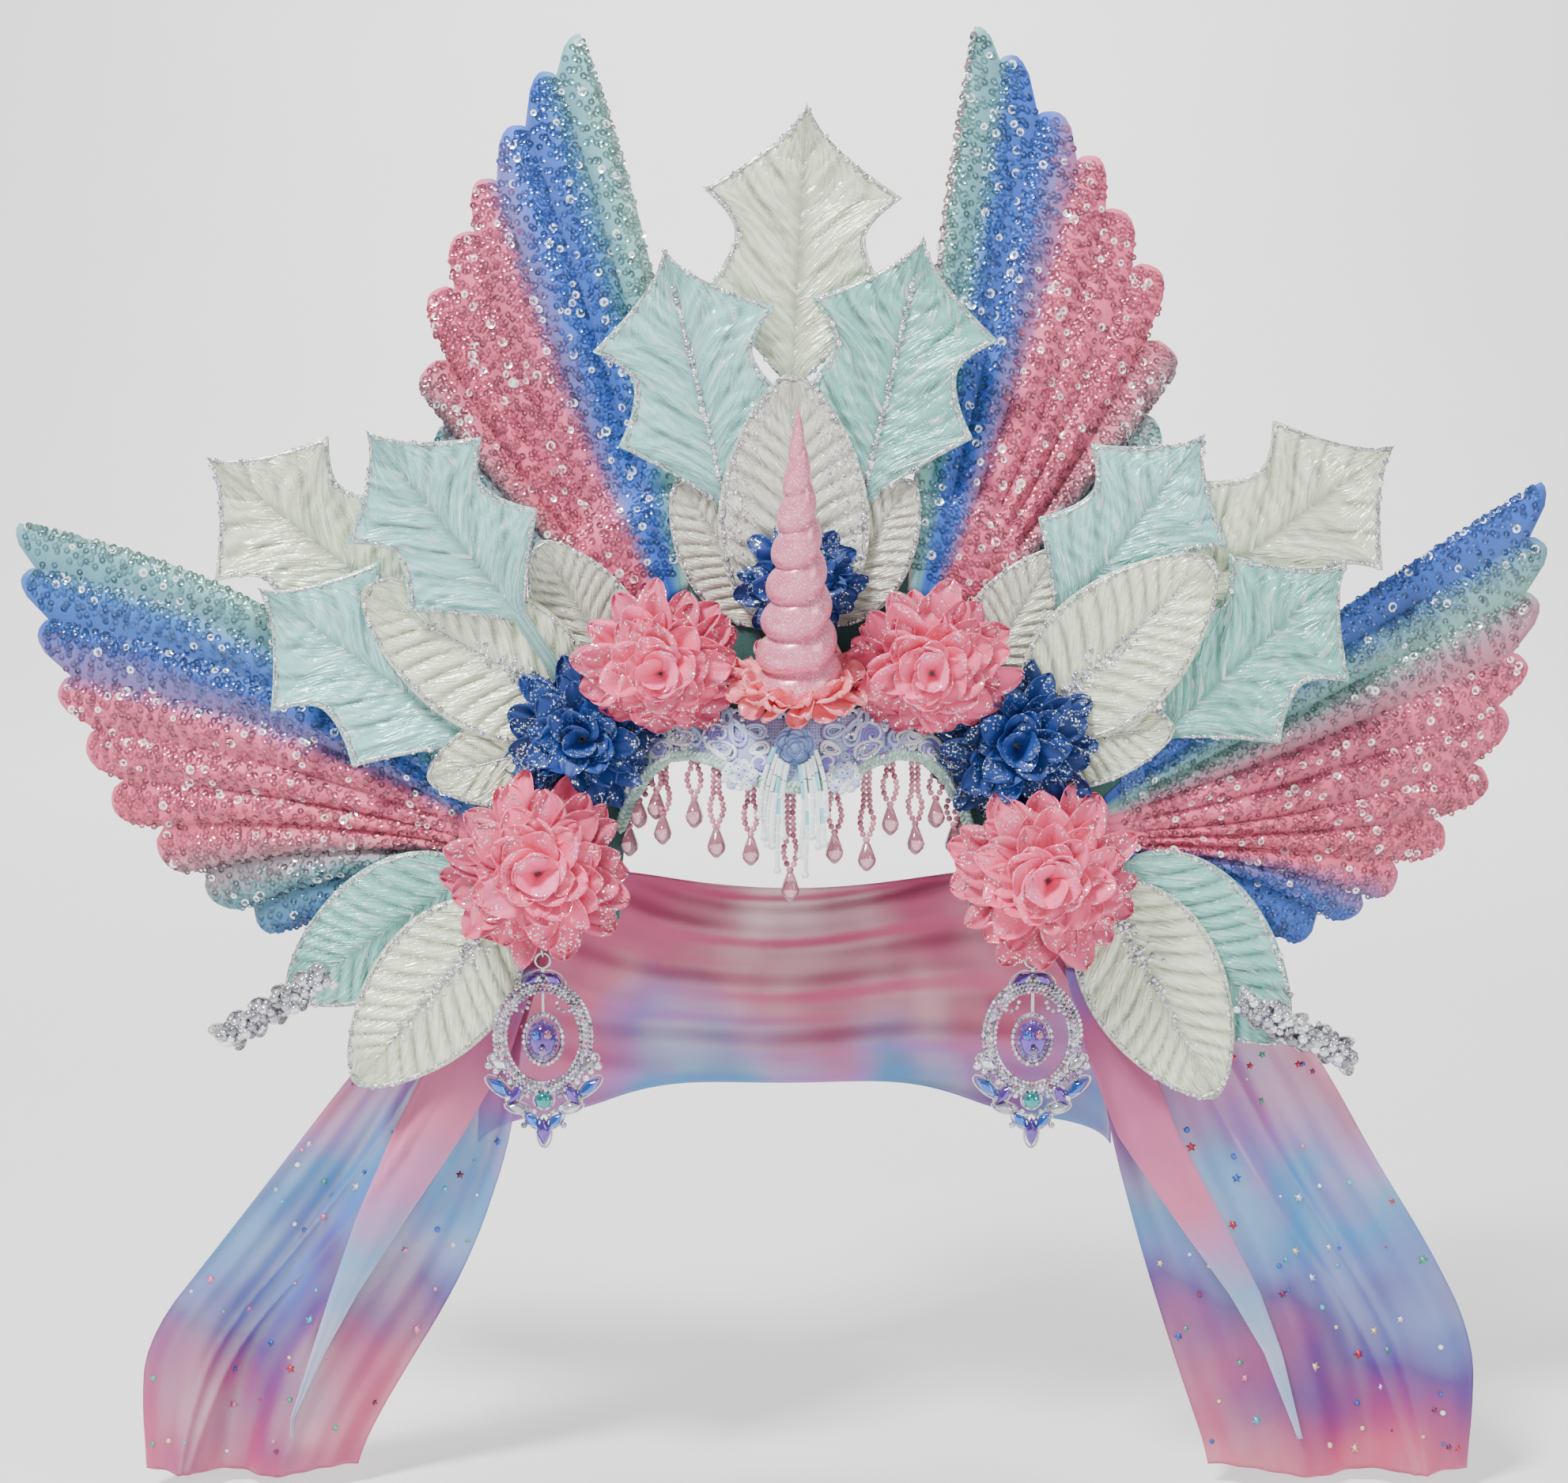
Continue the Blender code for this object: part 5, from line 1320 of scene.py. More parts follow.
def horn_body():
    rows, sides = 200, 40
    share, turn = np.meshgrid(np.arange(rows + 1) / rows, np.arange(sides) / sides, indexing="ij")
    swell = np.sqrt(np.abs(np.sin(math.pi * ((share * HORN_TURNS - turn) % 1.0))))
    radius = HORN_RADIUS * ((1 - share) ** 0.85 * (1 - HORN_GROOVE * (1 - swell)) + 0.02 * (1 - share))
    angle = 2 * math.pi * turn
    points = horn_place(np.stack((radius * np.cos(angle), radius * np.sin(angle), HORN_LENGTH * share), -1))
    index = grid_index(rows + 1, sides, False, True)
    quads = grid_faces(index)
    foot = index[0, :-1][::-1]
    pile = Pile()
    pile.add(Shape(points.reshape(-1, 3), np.concatenate((quads.reshape(-1), foot)),
                   np.concatenate((np.full(len(quads), 4), (sides,))), None))
    pile.piece("spiral_horn_pearl", "horn", "horn_skin", ("spiral_horn",))


def ruffle_body(draw):
    pile = Pile()
    rings = ((14, 15.5, 0, 15.5), (13, 13.0, 22, 16.0), (13, 13.5, -30, 16.5), (9, 9.5, 42, 17.0))
    for count, reach, lift, start in rings:
        for number in range(count):
            angle = 2 * math.pi * (number + draw.uniform(-0.35, 0.35)) / count
            out = Vector((math.cos(angle), math.sin(angle), 0))
            side, along, face = petal_lie(out, Vector((0, 0, 1)), lift + draw.uniform(-16, 16),
                                          draw.uniform(-0.8, 0.8))
            length, wide = reach * draw.uniform(0.85, 1.12), 12.0 * draw.uniform(0.85, 1.2)
            lean = horn_place((side * wide, along * length, face * length)) - HORN_FOOT
            dye = lit(colours().ruffle, draw.uniform(0.85, 1.15))
            pile.add_copies(unit("petal", 30, 0.3, 0.09, 0.02, draw.randrange(4)), [horn_place(out * start)],
                            lean.T, dye)
    pile.piece("horn_ruffle_petals", "chiffon", "pink_chiffon", ("horn_ruffle",))


# Felt base

def felt_piece(node_name):
    """The node's own form in felt: a copy of its mesh, merged, with rounded cut edges."""
    source = frame["nodes"][node_name]
    obj = bpy.data.objects.new(node_name + "_felt", source.data.copy())
    bpy.context.scene.collection.objects.link(obj)
    shape = bmesh.new()
    shape.from_mesh(obj.data)
    bmesh.ops.remove_doubles(shape, verts=shape.verts, dist=0.00002)
    bmesh.ops.dissolve_limit(shape, angle_limit=math.radians(1), verts=shape.verts, edges=shape.edges)
    shape.to_mesh(obj.data)
    shape.free()
    round_off = obj.modifiers.new("cut edge", "BEVEL")
    round_off.width = 0.0007
    round_off.segments = 2
    round_off.angle_limit = math.radians(50)
    round_off.limit_method = "ANGLE"
    deselect_all()
    bpy.context.view_layer.objects.active = obj
    obj.select_set(True)
    bpy.ops.object.modifier_apply(modifier="cut edge")
    return dress(obj, "felt", (node_name,), sharp_deg=40)


# Brow lace, fringe, rose and tassel

def brow_y(x, z, out):
    wide = x / (HEAD_HALF_WIDTH + out)
    high = (z + HEAD_HEIGHT) / (HEAD_HEIGHT + out)
    head = -(HEAD_FRONT_DEPTH + out) * math.sqrt(max(0.0, 1 - wide * wide - high * high))
    return min(head, CREST_FRONT_Y - SEAT_GAP - out)


def brow_edges(x):
    """Upper and lower edge of the lace at x."""
    x = abs(x)
    xs = [row.x for row in BROW]
    return np.interp(x, xs, [row.top for row in BROW]), np.interp(x, xs, [row.foot for row in BROW])


def on_brow(x, z, out):
    return x, brow_y(x, z, out), z


def lace_net():
    columns, rows = 80, 8

    def net_point(r, c, out):
        x = -75 + 150 * c / columns
        top, foot = brow_edges(x)
        swell = 0.7 * math.sin(c * 0.9) * math.sin(math.pi * r / rows)
        return on_brow(x, top + (foot - top) * r / rows, out + swell)

    pile = Pile()
    pile.add(slab(*([[net_point(r, c, out) for c in range(columns + 1)] for r in range(rows + 1)]
                    for out in (5.4, 4.6))))
    made = pile.piece("brow_lace_net", "net", "lace", ("brow_lace",), recalc=True)


def lace_coil(pile, x, z, reach, turns, dye, out, start_deg=0.0, radius=0.6):
    """A flat spiral of thread worked outwards from its middle."""
    steps = int(turns * 14)
    path = []
    for i in range(steps + 1):
        share = i / steps
        angle = math.radians(start_deg) + 2 * math.pi * turns * share
        far = 0.5 + (reach - 0.5) * share
        path.append(on_brow(x + far * math.cos(angle), z + far * math.sin(angle) * 0.9,
                            out + 0.8 * (1 - share)))
    pile.add(tube(path, radius, 5), dye)


def lace_scroll(pile, x, z, length, wide, turn_deg, dye, out):
    """A pointed loop of corded thread with a second cord inside it."""
    turn = math.radians(turn_deg)
    for grow, radius in ((1.0, 0.85), (0.62, 0.55)):
        path = []
        for i in range(22):
            t = 2 * math.pi * i / 22
            u, v = 0.5 * length * (1 + grow * math.cos(t)), 0.5 * wide * grow * math.sin(t) * (1 - 0.35 * math.cos(t))
            path.append(on_brow(x + u * math.cos(turn) - v * math.sin(turn),
                                z + u * math.sin(turn) + v * math.cos(turn),
                                out))
        pile.add(tube(path, radius, 5, closed=True), dye)


def lace_thread(draw):
    """Corded scrolls, fluffy violet rounds, white crochet tufts and a scalloped upper edge worked on the net."""
    pile = Pile()
    pale, violet, white = linear("B9C8F0"), linear("8F8AE0"), linear("EDF3FC")
    for side in (-1, 1):
        for x, z, reach in ((32, -34.5, 5.6), (58, -42, 4.4), (14, -45, 3.6)):
            lace_coil(pile, side * x, z, reach, 3.6, violet, 6.0, radius=0.85)
            lace_coil(pile, side * x, z, reach + 1.9, 1.0, white, 6.2, draw.uniform(0, 360), 0.8)
        for x, z, length, wide, turn in (
                (22, -38, 11, 6, 65), (25, -42, 12, 6, 20), (40, -38, 12, 5.5, 40), (43, -36, 11, 5, -8),
                (49, -38, 9, 5, 60), (53, -40, 10, 5, -30), (62, -46, 10, 4.6, -45), (67, -53, 9, 4.4, -60),
                (12, -33, 9, 5, 10), (11, -38, 8, 4.5, -20), (28, -31, 8, 4, 80), (36, -30, 8, 4, 30)):
            angle = turn if side > 0 else 180 - turn
            lace_scroll(pile, side * x, z, length, wide, angle, white if int(x) % 2 else pale, 6.4)
    for i in range(46):
        x = -73 + 146 * i / 45
        top, foot = brow_edges(x)
        arc = [on_brow(x + 2.0 * math.cos(a), top + 1.6 * math.sin(a), 6.0) for a in np.linspace(0, math.pi,
                                                                                                 8)]
        pile.add(tube(arc, 0.8, 5), pale if i % 2 else white)
    for cluster_x, cluster_z in ((-23, -50), (20, -51)):
        for ring, reach in ((1, 0.0), (6, 2.9), (11, 5.8)):
            for number in range(ring):
                angle = 2 * math.pi * number / ring + reach
                cx, cz = cluster_x + reach * math.cos(angle), cluster_z + reach * math.sin(angle) * 0.8
                out = 8.0 - reach * 0.22 + draw.uniform(-0.4, 0.4)
                lace_coil(pile, cx, cz, 1.9, 1.7, white if number % 4 else pale, out, draw.uniform(0, 360),
                          0.75)
    for _ in range(46):
        x = draw.uniform(-68, 68)
        top, foot = brow_edges(x)
        z = draw.uniform(foot + 3, top - 2)
        if abs(x) > 12:
            lace_coil(pile, x, z, draw.uniform(1.2, 2.2), 1.6, draw.choice((pale, pale, white, violet)), 5.9,
                      draw.uniform(0, 360), 0.6)
    pile.piece("brow_lace_thread", "thread", "lace", recalc=True)


def lace_paillettes(draw):
    """Small clear cut discs scattered over the lace."""
    centres, radii = [], []
    for _ in range(90):
        x = draw.uniform(-72, 72)
        top, foot = brow_edges(x)
        z = draw.uniform(foot + 1, top - 1)
        if abs(x) > 11:
            centres.append(on_brow(x, z, 7.0))
            radii.append([draw.uniform(0.7, 1.5)] * 2 + [0.6])
    normals = [(x / 80 + draw.uniform(-0.3, 0.3), -1, draw.uniform(-0.2, 0.5)) for x, _, _ in centres]
    pile = Pile()
    pile.add_copies(unit("stone"), centres, turned_axes(normals, (1, 0, 0.1), radii),
                    [linear(draw.choice(("E8EDFA", "CFE6F2", "D9D2F4"))) for _ in centres])
    pile.piece("brow_lace_paillettes", "stone", "lace", sharp_deg=0)


def lace_braid():
    """The mint braid along the lace's lower edge, three plaited strands."""
    pile = Pile()
    dye = np.array(colours().braid)
    edge = []
    for i in range(601):
        x = -75.5 + 151 * i / 600
        _, foot = brow_edges(x)
        edge.append(on_brow(x, foot, 4.4))
    edge = even_points(edge, 0.42)
    away = np.array((0.0, -1.0, 0.0))
    for strand in range(3):
        phase = np.arange(len(edge)) * 0.42 * 2 * math.pi / 6.5 + strand * 2 * math.pi / 3
        along = np.gradient(edge, axis=0)
        along /= np.linalg.norm(along, axis=1)[:, None]
        side = np.cross(along, away)
        path = edge + side * (1.9 * np.sin(phase))[:, None] + away * (0.8 * np.sin(2 * phase) + 0.6)[:, None]
        pile.add(tube(path, 1.05, 5), dye * (0.85 + 0.15 * strand))
    pile.piece("brow_braid", "thread", "lace", recalc=True)


def bead_fringe(draw):
    """Loops of seed beads, each with a faceted drop at its foot."""
    radius = sizes().seed_bead / MM / 2
    pale, deep = linear("E09AAC"), linear("9C4C62")
    beads, drops, ways = [], [], []
    for drop in DROPS:
        top = Vector(on_brow(drop.x, brow_edges(drop.x)[1] + 1.0, 1.4))
        end = Vector((drop.x, min(drop.y, top.y), drop.foot))
        up = (top - end).normalized()
        neck = end + up * 12.5
        length = (top - neck).length
        count = max(3, int(length / (radius * 1.6)))
        # the two strings run together, then open into a loop over the drop
        loop_from = max(0.0, 1 - 13.0 / length) if length > 16 else draw.choice((0.2, 0.45))
        for side in (-1, 1):
            for number in range(count + 1):
                share = number / count
                into = max(0.0, (share - loop_from) / (1 - loop_from))
                apart = 0.3 + 0.9 * (1 - into) + 2.0 * math.sin(math.pi * into ** 0.85)
                middle = top + (neck - top) * share
                beads.append((middle.x + side * apart + draw.uniform(-0.2, 0.2),
                              middle.y + draw.uniform(-0.5, 0.5), middle.z))
        beads.append(tuple(neck))
        drops.append(neck - up * 0.6)
        ways.append(np.array(up))
    pile = Pile()
    shades = [mix(pale, deep, draw.random()) for _ in beads]
    pile.add_copies(unit("bead"), beads, turned_axes((0, -1, 0), (1, 0, 0), radius), shades)
    pile.piece("bead_fringe_seeds", "bugle", "crystal_bead")
    pile = Pile()
    turned = []
    for up in ways:
        spin = draw.uniform(0, math.pi)
        x = np.cross((0, 1, 0), up)
        x /= np.linalg.norm(x)
        y = np.cross(up, x)
        x, y = x * math.cos(spin) + y * math.sin(spin), y * math.cos(spin) - x * math.sin(spin)
        turned.append(np.column_stack((x * 13.0, y * 13.0, up * 12.6)))
    pile.add_copies(unit("drop"), drops, turned, linear("D9A0AE"))
    pile.piece("bead_fringe_drops", "glass", "crystal_bead", ("bead_fringe",), sharp_deg=0)


def moulded_rose(draw):
    """Tiers of overlapping petals cast in one piece, each with a rolled edge."""
    around, rings, step = 132, 60, 1.1
    tiers = [(reach, count, draw.uniform(0, math.pi))
             for reach, count in ((0.98, 5), (0.84, 5), (0.64, 4), (0.44, 3), (0.25, 2))]
    front = np.zeros((rings + 1, around + 1, 3))
    for ring in range(rings + 1):
        far = 0.02 + 0.98 * ring / rings
        for a in range(around + 1):
            angle = 2 * math.pi * a / around
            height = 0.4
            for reach, count, turn in tiers:
                inside = reach * (0.62 + 0.38 * abs(math.cos(count * angle / 2 + turn)) ** 0.5) - far
                height += step * min(1.0, max(0.0, inside / 0.035)) + 0.6 * math.exp(-((inside - 0.05) / 0.035) ** 2)
                height -= 0.6 * math.exp(-((inside + 0.03) / 0.03) ** 2)
            front[ring, a] = (ROSE_CENTRE[0] + ROSE_RADIUS * far * math.cos(angle), ROSE_CENTRE[1] - height,
                              ROSE_CENTRE[2] + ROSE_RADIUS * far * math.sin(angle))
    back = front.copy()
    back[..., 1] = ROSE_CENTRE[1] + 0.5
    pile = Pile()
    pile.add(slab(front, back), (1, 1, 1))
    pile.piece("brow_rose_petals", "resin", "rose_resin", ("brow_rose",), recalc=True)


def bugle_strings(draw):
    length = sizes().bugle / MM
    centres, axes, dyes, seeds = [], [], [], []
    white, ice = linear("E8F0F1"), linear("7FD4DA")
    for strand in TASSEL:
        # they come out under the lower rim of the rose
        x = strand.top * 1.12
        rim = ROSE_CENTRE[2] - math.sqrt(ROSE_RADIUS ** 2 - x ** 2)
        start = Vector((x, TASSEL_Y + draw.uniform(2.0, 3.4), rim + 1.4))
        end = Vector((strand.foot, TASSEL_Y - draw.uniform(-0.8, 1.2), TASSEL_TOP_Z - strand.length))
        run = (end - start).length
        count = max(2, int(run / (length * 1.04)))
        bend = math.copysign(draw.uniform(0.8, 1.8), strand.foot)
        places = [start + (end - start) * (n / count) + Vector((bend * math.sin(math.pi * n / count), 0, 0))
                  for n in range(count + 1)]
        for upper, lower in zip(places, places[1:]):
            along = (lower - upper).normalized()
            side = along.cross(Vector((0, 1, 0))).normalized()
            centres.append(tuple((upper + lower) / 2))
            axes.append(np.column_stack((side, along.cross(side), along * (lower - upper).length * 0.47)))
            dyes.append(ice if draw.random() < 0.14 else white)
        seeds.append(end - Vector((0, 0, 1.0)))
    pile = Pile()
    pile.add_copies(unit("bugle"), centres, axes, dyes)
    pile.add_copies(unit("bead"), seeds, turned_axes((0, -1, 0), (1, 0, 0), 1.7), white)
    pile.piece("bugle_tassel_beads", "bugle", "white_bead", ("bugle_tassel",), sharp_deg=40)


# Pendants and sprays

def oval_band(x, z, half_width, half_height, band, dome):
    """A ring of metal round an oval, flat behind and domed in front."""
    profile = ((1, 1.3), (1, -0.6), (0.5, -dome), (0, -dome * 1.15), (-0.5, -dome), (-1, -0.6), (-1, 1.3))
    grid = np.array([[(x + (half_width + out * band / 2) * math.sin(angle), PENDANT_Y + depth,
                       z + (half_height + out * band / 2) * math.cos(angle)) for out, depth in profile]
                     for angle in full_turn(64)])
    quads = grid_faces(grid_index(64, len(profile), True, True))
    return Shape(grid.reshape(-1, 3), quads.reshape(-1), np.full(len(quads), 4), None)


def stone_axes(turn_deg):
    """Which way a stone points in the pendant's face, and its side."""
    turn = math.radians(turn_deg)
    along = np.array((math.sin(turn), 0, math.cos(turn)))
    return along, np.cross((0, -1, 0), along)


def pendant(name, x, draw):
    z_oval, z_eye = PIVOT_Z + OVAL_CENTRE_Z, PIVOT_Z + EYE_CENTRE_Z
    metal = Pile()
    metal.add(oval_band(x, z_oval, OVAL_HALF_WIDTH, OVAL_HALF_HEIGHT, OVAL_BAND + 0.6, 1.6))
    metal.add(oval_band(x, z_eye, 8.0, 10.5, 1.6, 1.2))
    bail_z = PIVOT_Z + 1.3 - BAIL_RADIUS
    ring = [(x + BAIL_RADIUS * math.cos(a), PENDANT_Y,
             bail_z + BAIL_RADIUS * math.sin(a)) for a in full_turn(20)]
    metal.add(tube(ring, 0.55, 6, closed=True))
    oval_top = z_oval + OVAL_HALF_HEIGHT
    for top, foot, radius in ((bail_z - 3.0, oval_top, 1.0), (oval_top - 1, z_eye + 10.0, 0.8)):
        metal.add(tube([(x, PENDANT_Y, top), (x, PENDANT_Y, foot)], radius, 8))
    gems = {"stone": [], "marquise": []}

    def set_stone(gx, gz, long, wide, dye, forward=1.2, turn_deg=0):
        along, across = stone_axes(turn_deg)
        axes = np.column_stack((across * wide, along * long, (0, -1.15 * min(long, wide), 0)))
        light = draw.uniform(0.22, 1.1) if dye in ("clear", "lilac", "rose") else draw.uniform(0.8, 1.15)
        gems["marquise" if long > 1.5 * wide else "stone"].append(
            ((x + gx, PENDANT_Y - forward, PIVOT_Z + gz), axes, lit(linear(STONE_DYES[dye]), light)))

    for number, row in enumerate((-2.5, -0.85, 0.85, 2.5)):
        count = int(math.pi * (20.5 + row))
        for i in range(count):
            angle = 2 * math.pi * (i + 0.5 * (number % 2)) / count
            size = 0.92 * draw.uniform(0.85, 1.15)
            dye = draw.choice(("clear", "clear", "clear", "clear", "lilac", "rose"))
            set_stone((OVAL_HALF_WIDTH + row) * math.sin(angle),
                      OVAL_CENTRE_Z + (OVAL_HALF_HEIGHT + row) * math.cos(angle), size, size, dye, 1.7)
    for side in (-1, 1):
        # the small inner scrolls, and loose silver stones about the lower half
        for share in np.linspace(0, 1, 7):
            angle = math.radians(25 + 250 * share)
            set_stone(side * (9.5 + 3.6 * math.sin(angle)), OVAL_CENTRE_Z + 15.0 + 3.6 * math.cos(angle),
                      0.95, 0.95, "clear", 1.4)
        for gx, gz, size in LOOSE_STONES:
            set_stone(side * gx, gz, size, size, "clear")
    for stone in STONES:
        along, across = stone_axes(stone.turn)
        middle = np.array((x + stone.x, PENDANT_Y + 0.2, PIVOT_Z + stone.z))
        collar = [middle + 1.06 * (along * stone.half_length * math.cos(a) - across * stone.half_width * math.sin(a))
                  for a in full_turn(18)]
        metal.add(tube(collar, 0.5, 5, closed=True))
        set_stone(stone.x, stone.z, stone.half_length, stone.half_width, stone.dye, 0.6, stone.turn)
    set_stone(0, EYE_CENTRE_Z, 9.3, 6.9, "violet", 0.6)
    for gx, gz, dye in ((-2.6, 3.0, "blue"), (2.4, 3.4, "rose"), (0.2, -3.6, "lilac")):
        set_stone(gx, EYE_CENTRE_Z + gz, 2.3, 2.0, dye, 7.6)
    for angle in full_turn(26):
        set_stone(8.3 * math.sin(angle), EYE_CENTRE_Z + 10.8 * math.cos(angle), 1.1, 1.1, "clear")
    metal.piece(name + "_setting", "metal", "rhinestone", (name,), body=name, sharp_deg=40, recalc=True)
    pile = Pile()
    for kind, chosen in gems.items():
        pile.add_copies(unit(kind), *zip(*chosen))
    pile.piece(name + "_gems", "stone", "rhinestone", body=name, sharp_deg=0)


def crystal_spray(spray, draw):
    """A tapering cluster of cut stones on wires, with small silver petals behind them."""
    root = Vector((spray.root[0], spray.y, spray.root[1]))
    tip = Vector((spray.tip[0], spray.y, spray.tip[1]))
    along = (tip - root).normalized()
    side = along.cross(Vector((0, 1, 0))).normalized()
    length = (tip - root).length
    gems, axes, dyes, wires = [], [], [], Pile()
    wires.add(tube([root + along * (length * i / 8) for i in range(9)], 0.8, 6))
    for number in range(110):
        share = 0.03 + 0.95 * number / 109
        swell = math.sin(math.pi * (0.06 + 0.88 * share) ** 0.8) ** 0.4
        angle = number * 2.4
        reach = spray.radius * swell * draw.uniform(0.30, 0.82)
        foot = root + along * (length * share)
        place = foot + side * (reach * math.cos(angle)) + Vector((0, -1,
                                                                  0)) * (abs(math.sin(angle)) * reach * 0.8)
        wires.add(tube([foot, place], 0.35, 4))
        size = draw.uniform(1.3, 2.7)
        gems.append(place)
        axes.append(turned_axes(place - foot + Vector((0, -4, 0)), along, size)[0])
        light = draw.uniform(0.25, 1.2)
        dyes.append(lit(linear(draw.choice(("E8EAEE", "CFCFDC", "F6F6F6"))), light))
    wires.piece(spray.name + "_wires", "metal", "rhinestone", (spray.name,), sharp_deg=40, recalc=True)
    pile = Pile()
    pile.add_copies(unit("stone"), gems, axes, dyes)
    pile.piece(spray.name + "_gems", "stone", "rhinestone", sharp_deg=0)
    petals = Pile()
    centres, turned = [], []
    for number in range(9):
        share = 0.12 + 0.76 * number / 8
        way = (along + side * (0.9 if number % 2 else -0.9)).normalized()
        face = Vector((0, -1, 0))
        across = way.cross(face).normalized()
        centres.append(root + along * (length * share) + Vector((0, 1.5, 0)))
        turned.append(np.column_stack((across * 6.5, way * 11.0, face * 11.0)))
    petals.add_copies(unit("petal", 20, 0.3, 0.0, 0.010, 0), centres, turned, linear("C9CBD0"))
    petals.piece(spray.name + "_petals", "glitter", "rhinestone")


# Tulle scarf

def tail_row(rows, z):
    """The tail's edges, fold depth and y at a height, between the table's rows."""
    heights = [-row.z for row in rows]
    near = [-z + step for step in (-16, -8, 0, 8, 16)]
    return [float(np.interp(near, heights, [getattr(row, key) for row in rows]).mean())
            for key in ("outer", "inner", "fold", "y")]


def tail_point(name, z, share, layer=0):
    """A point of the tail's cloth. Layers 1 and 2 are the front and back of the narrow doubled fold."""
    outer, inner, fold, y = tail_row(TAILS[name], z)
    depth = max(fold, 0.4)
    if layer:
        heights = [-row.z for row in FOLDS[name]]
        middle, width = (float(np.interp(-z, heights, [getattr(row, key) for row in FOLDS[name]]))
                         for key in ("middle", "width"))
        swell = math.sin(math.pi * share)
        rise = (3.6 if layer == 1 else 1.2) * swell * min(1.0, width / 14)
        x = middle + (share - 0.5) * width
        under = tail_point(name, z, min(1.0, max(0.0, (x - outer) / (inner - outer))))[1]
        lies = min(y - depth * 0.95 - 0.8, under - 1.2)
        return x, lies - rise + 0.5 * math.sin(9 * share + 0.03 * z), z
    x = outer + (inner - outer) * share
    fan = (z + 100) / 270
    pleats = 0.75 * math.sin(2 * math.pi * (1.7 * share + 0.5 * fan)) * (1 - 0.2 * fan)
    pleats += 0.35 * math.sin(2 * math.pi * (3.6 * share * (1 + 0.25 * fan) + 0.2)) * math.sin(math.pi * share) ** 0.5
    pleats += 0.10 * math.sin(2 * math.pi * (8.3 * share - 1.4 * fan))
    # two creases fan out from the top towards the outer corner
    for at, slope in ((0.74, 0.52), (0.52, 0.34)):
        pleats -= 0.5 * min(1.0, -3 * fan) * math.exp(-abs(share - at - slope * fan) / 0.022)
    return x, y + depth * pleats, z + 2.5 * math.sin(2 * math.pi * (1.3 * share + 0.1)) * max(0.0,
                                                                                              (-z - 330) / 42)


def tail_grid(name, face, top, foot, rows, columns):
    return np.array([[tail_point(name, top + (foot - top) * r / rows, c / columns, face)
                      for c in range(columns + 1)] for r in range(rows + 1)])


def tail_cloth(name):
    """A tail and the narrow doubled fold that lies on it, whose two layers are one sheet."""
    through = (0, sizes().tulle_thickness / MM, 0)
    tail = tail_grid(name, 0, -101.0, -370.0, 120, 90)
    pile = Pile()
    pile.add(slab(tail, tail + through))
    pile.piece(name + "_tulle", "tulle", "tulle", (name,), recalc=True)
    fold = [tail_grid(name, face, -139.0, -352.0, 90, 16) for face in (1, 2)]
    pile = Pile()
    for layer in fold:
        pile.add(slab(layer, layer + through))
    made = pile.piece(name + "_overfold", "fold", "tulle", recalc=True)


def confetti(name, draw):
    """Foil stars and dots on the front of one tail."""
    spots = {"star": [], "stone": []}
    for _ in range(sizes().confetti):
        x, y, z = tail_point(name, -130 - 235 * draw.random() ** 0.8, draw.uniform(0.03, 0.97))
        turn = draw.uniform(0, 2 * math.pi)
        kind = "star" if draw.random() < 0.5 else "stone"
        radius = draw.uniform(1.4, 2.9) if kind == "star" else draw.uniform(0.6, 1.5)
        axes = turned_axes((0, -1, 0), (math.cos(turn), 0, math.sin(turn)),
                           (radius, radius, radius if kind == "star" else 0.3))
        spots[kind].append(((x, y - 0.35, z), axes[0], linear(draw.choice(CONFETTI_DYES))))
    pile = Pile()
    for kind, chosen in spots.items():
        pile.add_copies(unit(kind), *zip(*chosen))
    pile.piece(name + "_confetti", "foil", "tulle", sharp_deg=0)


def swag_point(drop, angle):
    """A point of the swag, with drop from its top at 0 to its foot at 1, and the angle from side to side."""
    half = SWAG_TOP_HALF_WIDTH + (SWAG_FOOT_HALF_WIDTH - SWAG_TOP_HALF_WIDTH) * math.sin(drop * math.pi / 2)
    # long gathers that run round with the drape, closer together towards the top
    phase = 2 * math.pi * (3.4 * drop ** 0.8 + 0.30 * math.sin(2 * angle + 1))
    wave = 2.6 * math.sin(phase) + 1.1 * math.sin(2.3 * phase + 3 * angle) + 1.2 * drop * math.sin(angle * 9)
    wave *= abs(math.sin(angle)) ** 0.5 * 1.1
    sag = 26.0 * (1 - drop) * abs(math.sin(angle)) ** 1.5
    # the ends run on behind the tails
    behind = 1 + 0.16 * abs(math.cos(angle)) ** 10
    z = SWAG_TOP_Z + (SWAG_FOOT_Z - SWAG_TOP_Z) * drop - sag + 1.5 * drop * math.sin(angle * 7)
    return ((half + wave) * math.cos(angle) * behind,
            SWAG_START_Y + (SWAG_TOP_DEPTH + wave) * math.sin(angle), z)


def swag_cloth():
    columns, rows = 110, 60
    front = np.array([[swag_point(r / rows, math.pi * c / columns) for c in range(columns + 1)]
                      for r in range(rows + 1)])
    outward = (front - (0.0, SWAG_START_Y, 0.0)) * (1, 1, 0)
    outward /= np.linalg.norm(outward, axis=2)[..., None]
    pile = Pile()
    pile.add(slab(front, front + outward * sizes().tulle_thickness / MM))
    pile.piece("scarf_swag_tulle", "tulle", "tulle", ("scarf_swag",), recalc=True)


# Stage

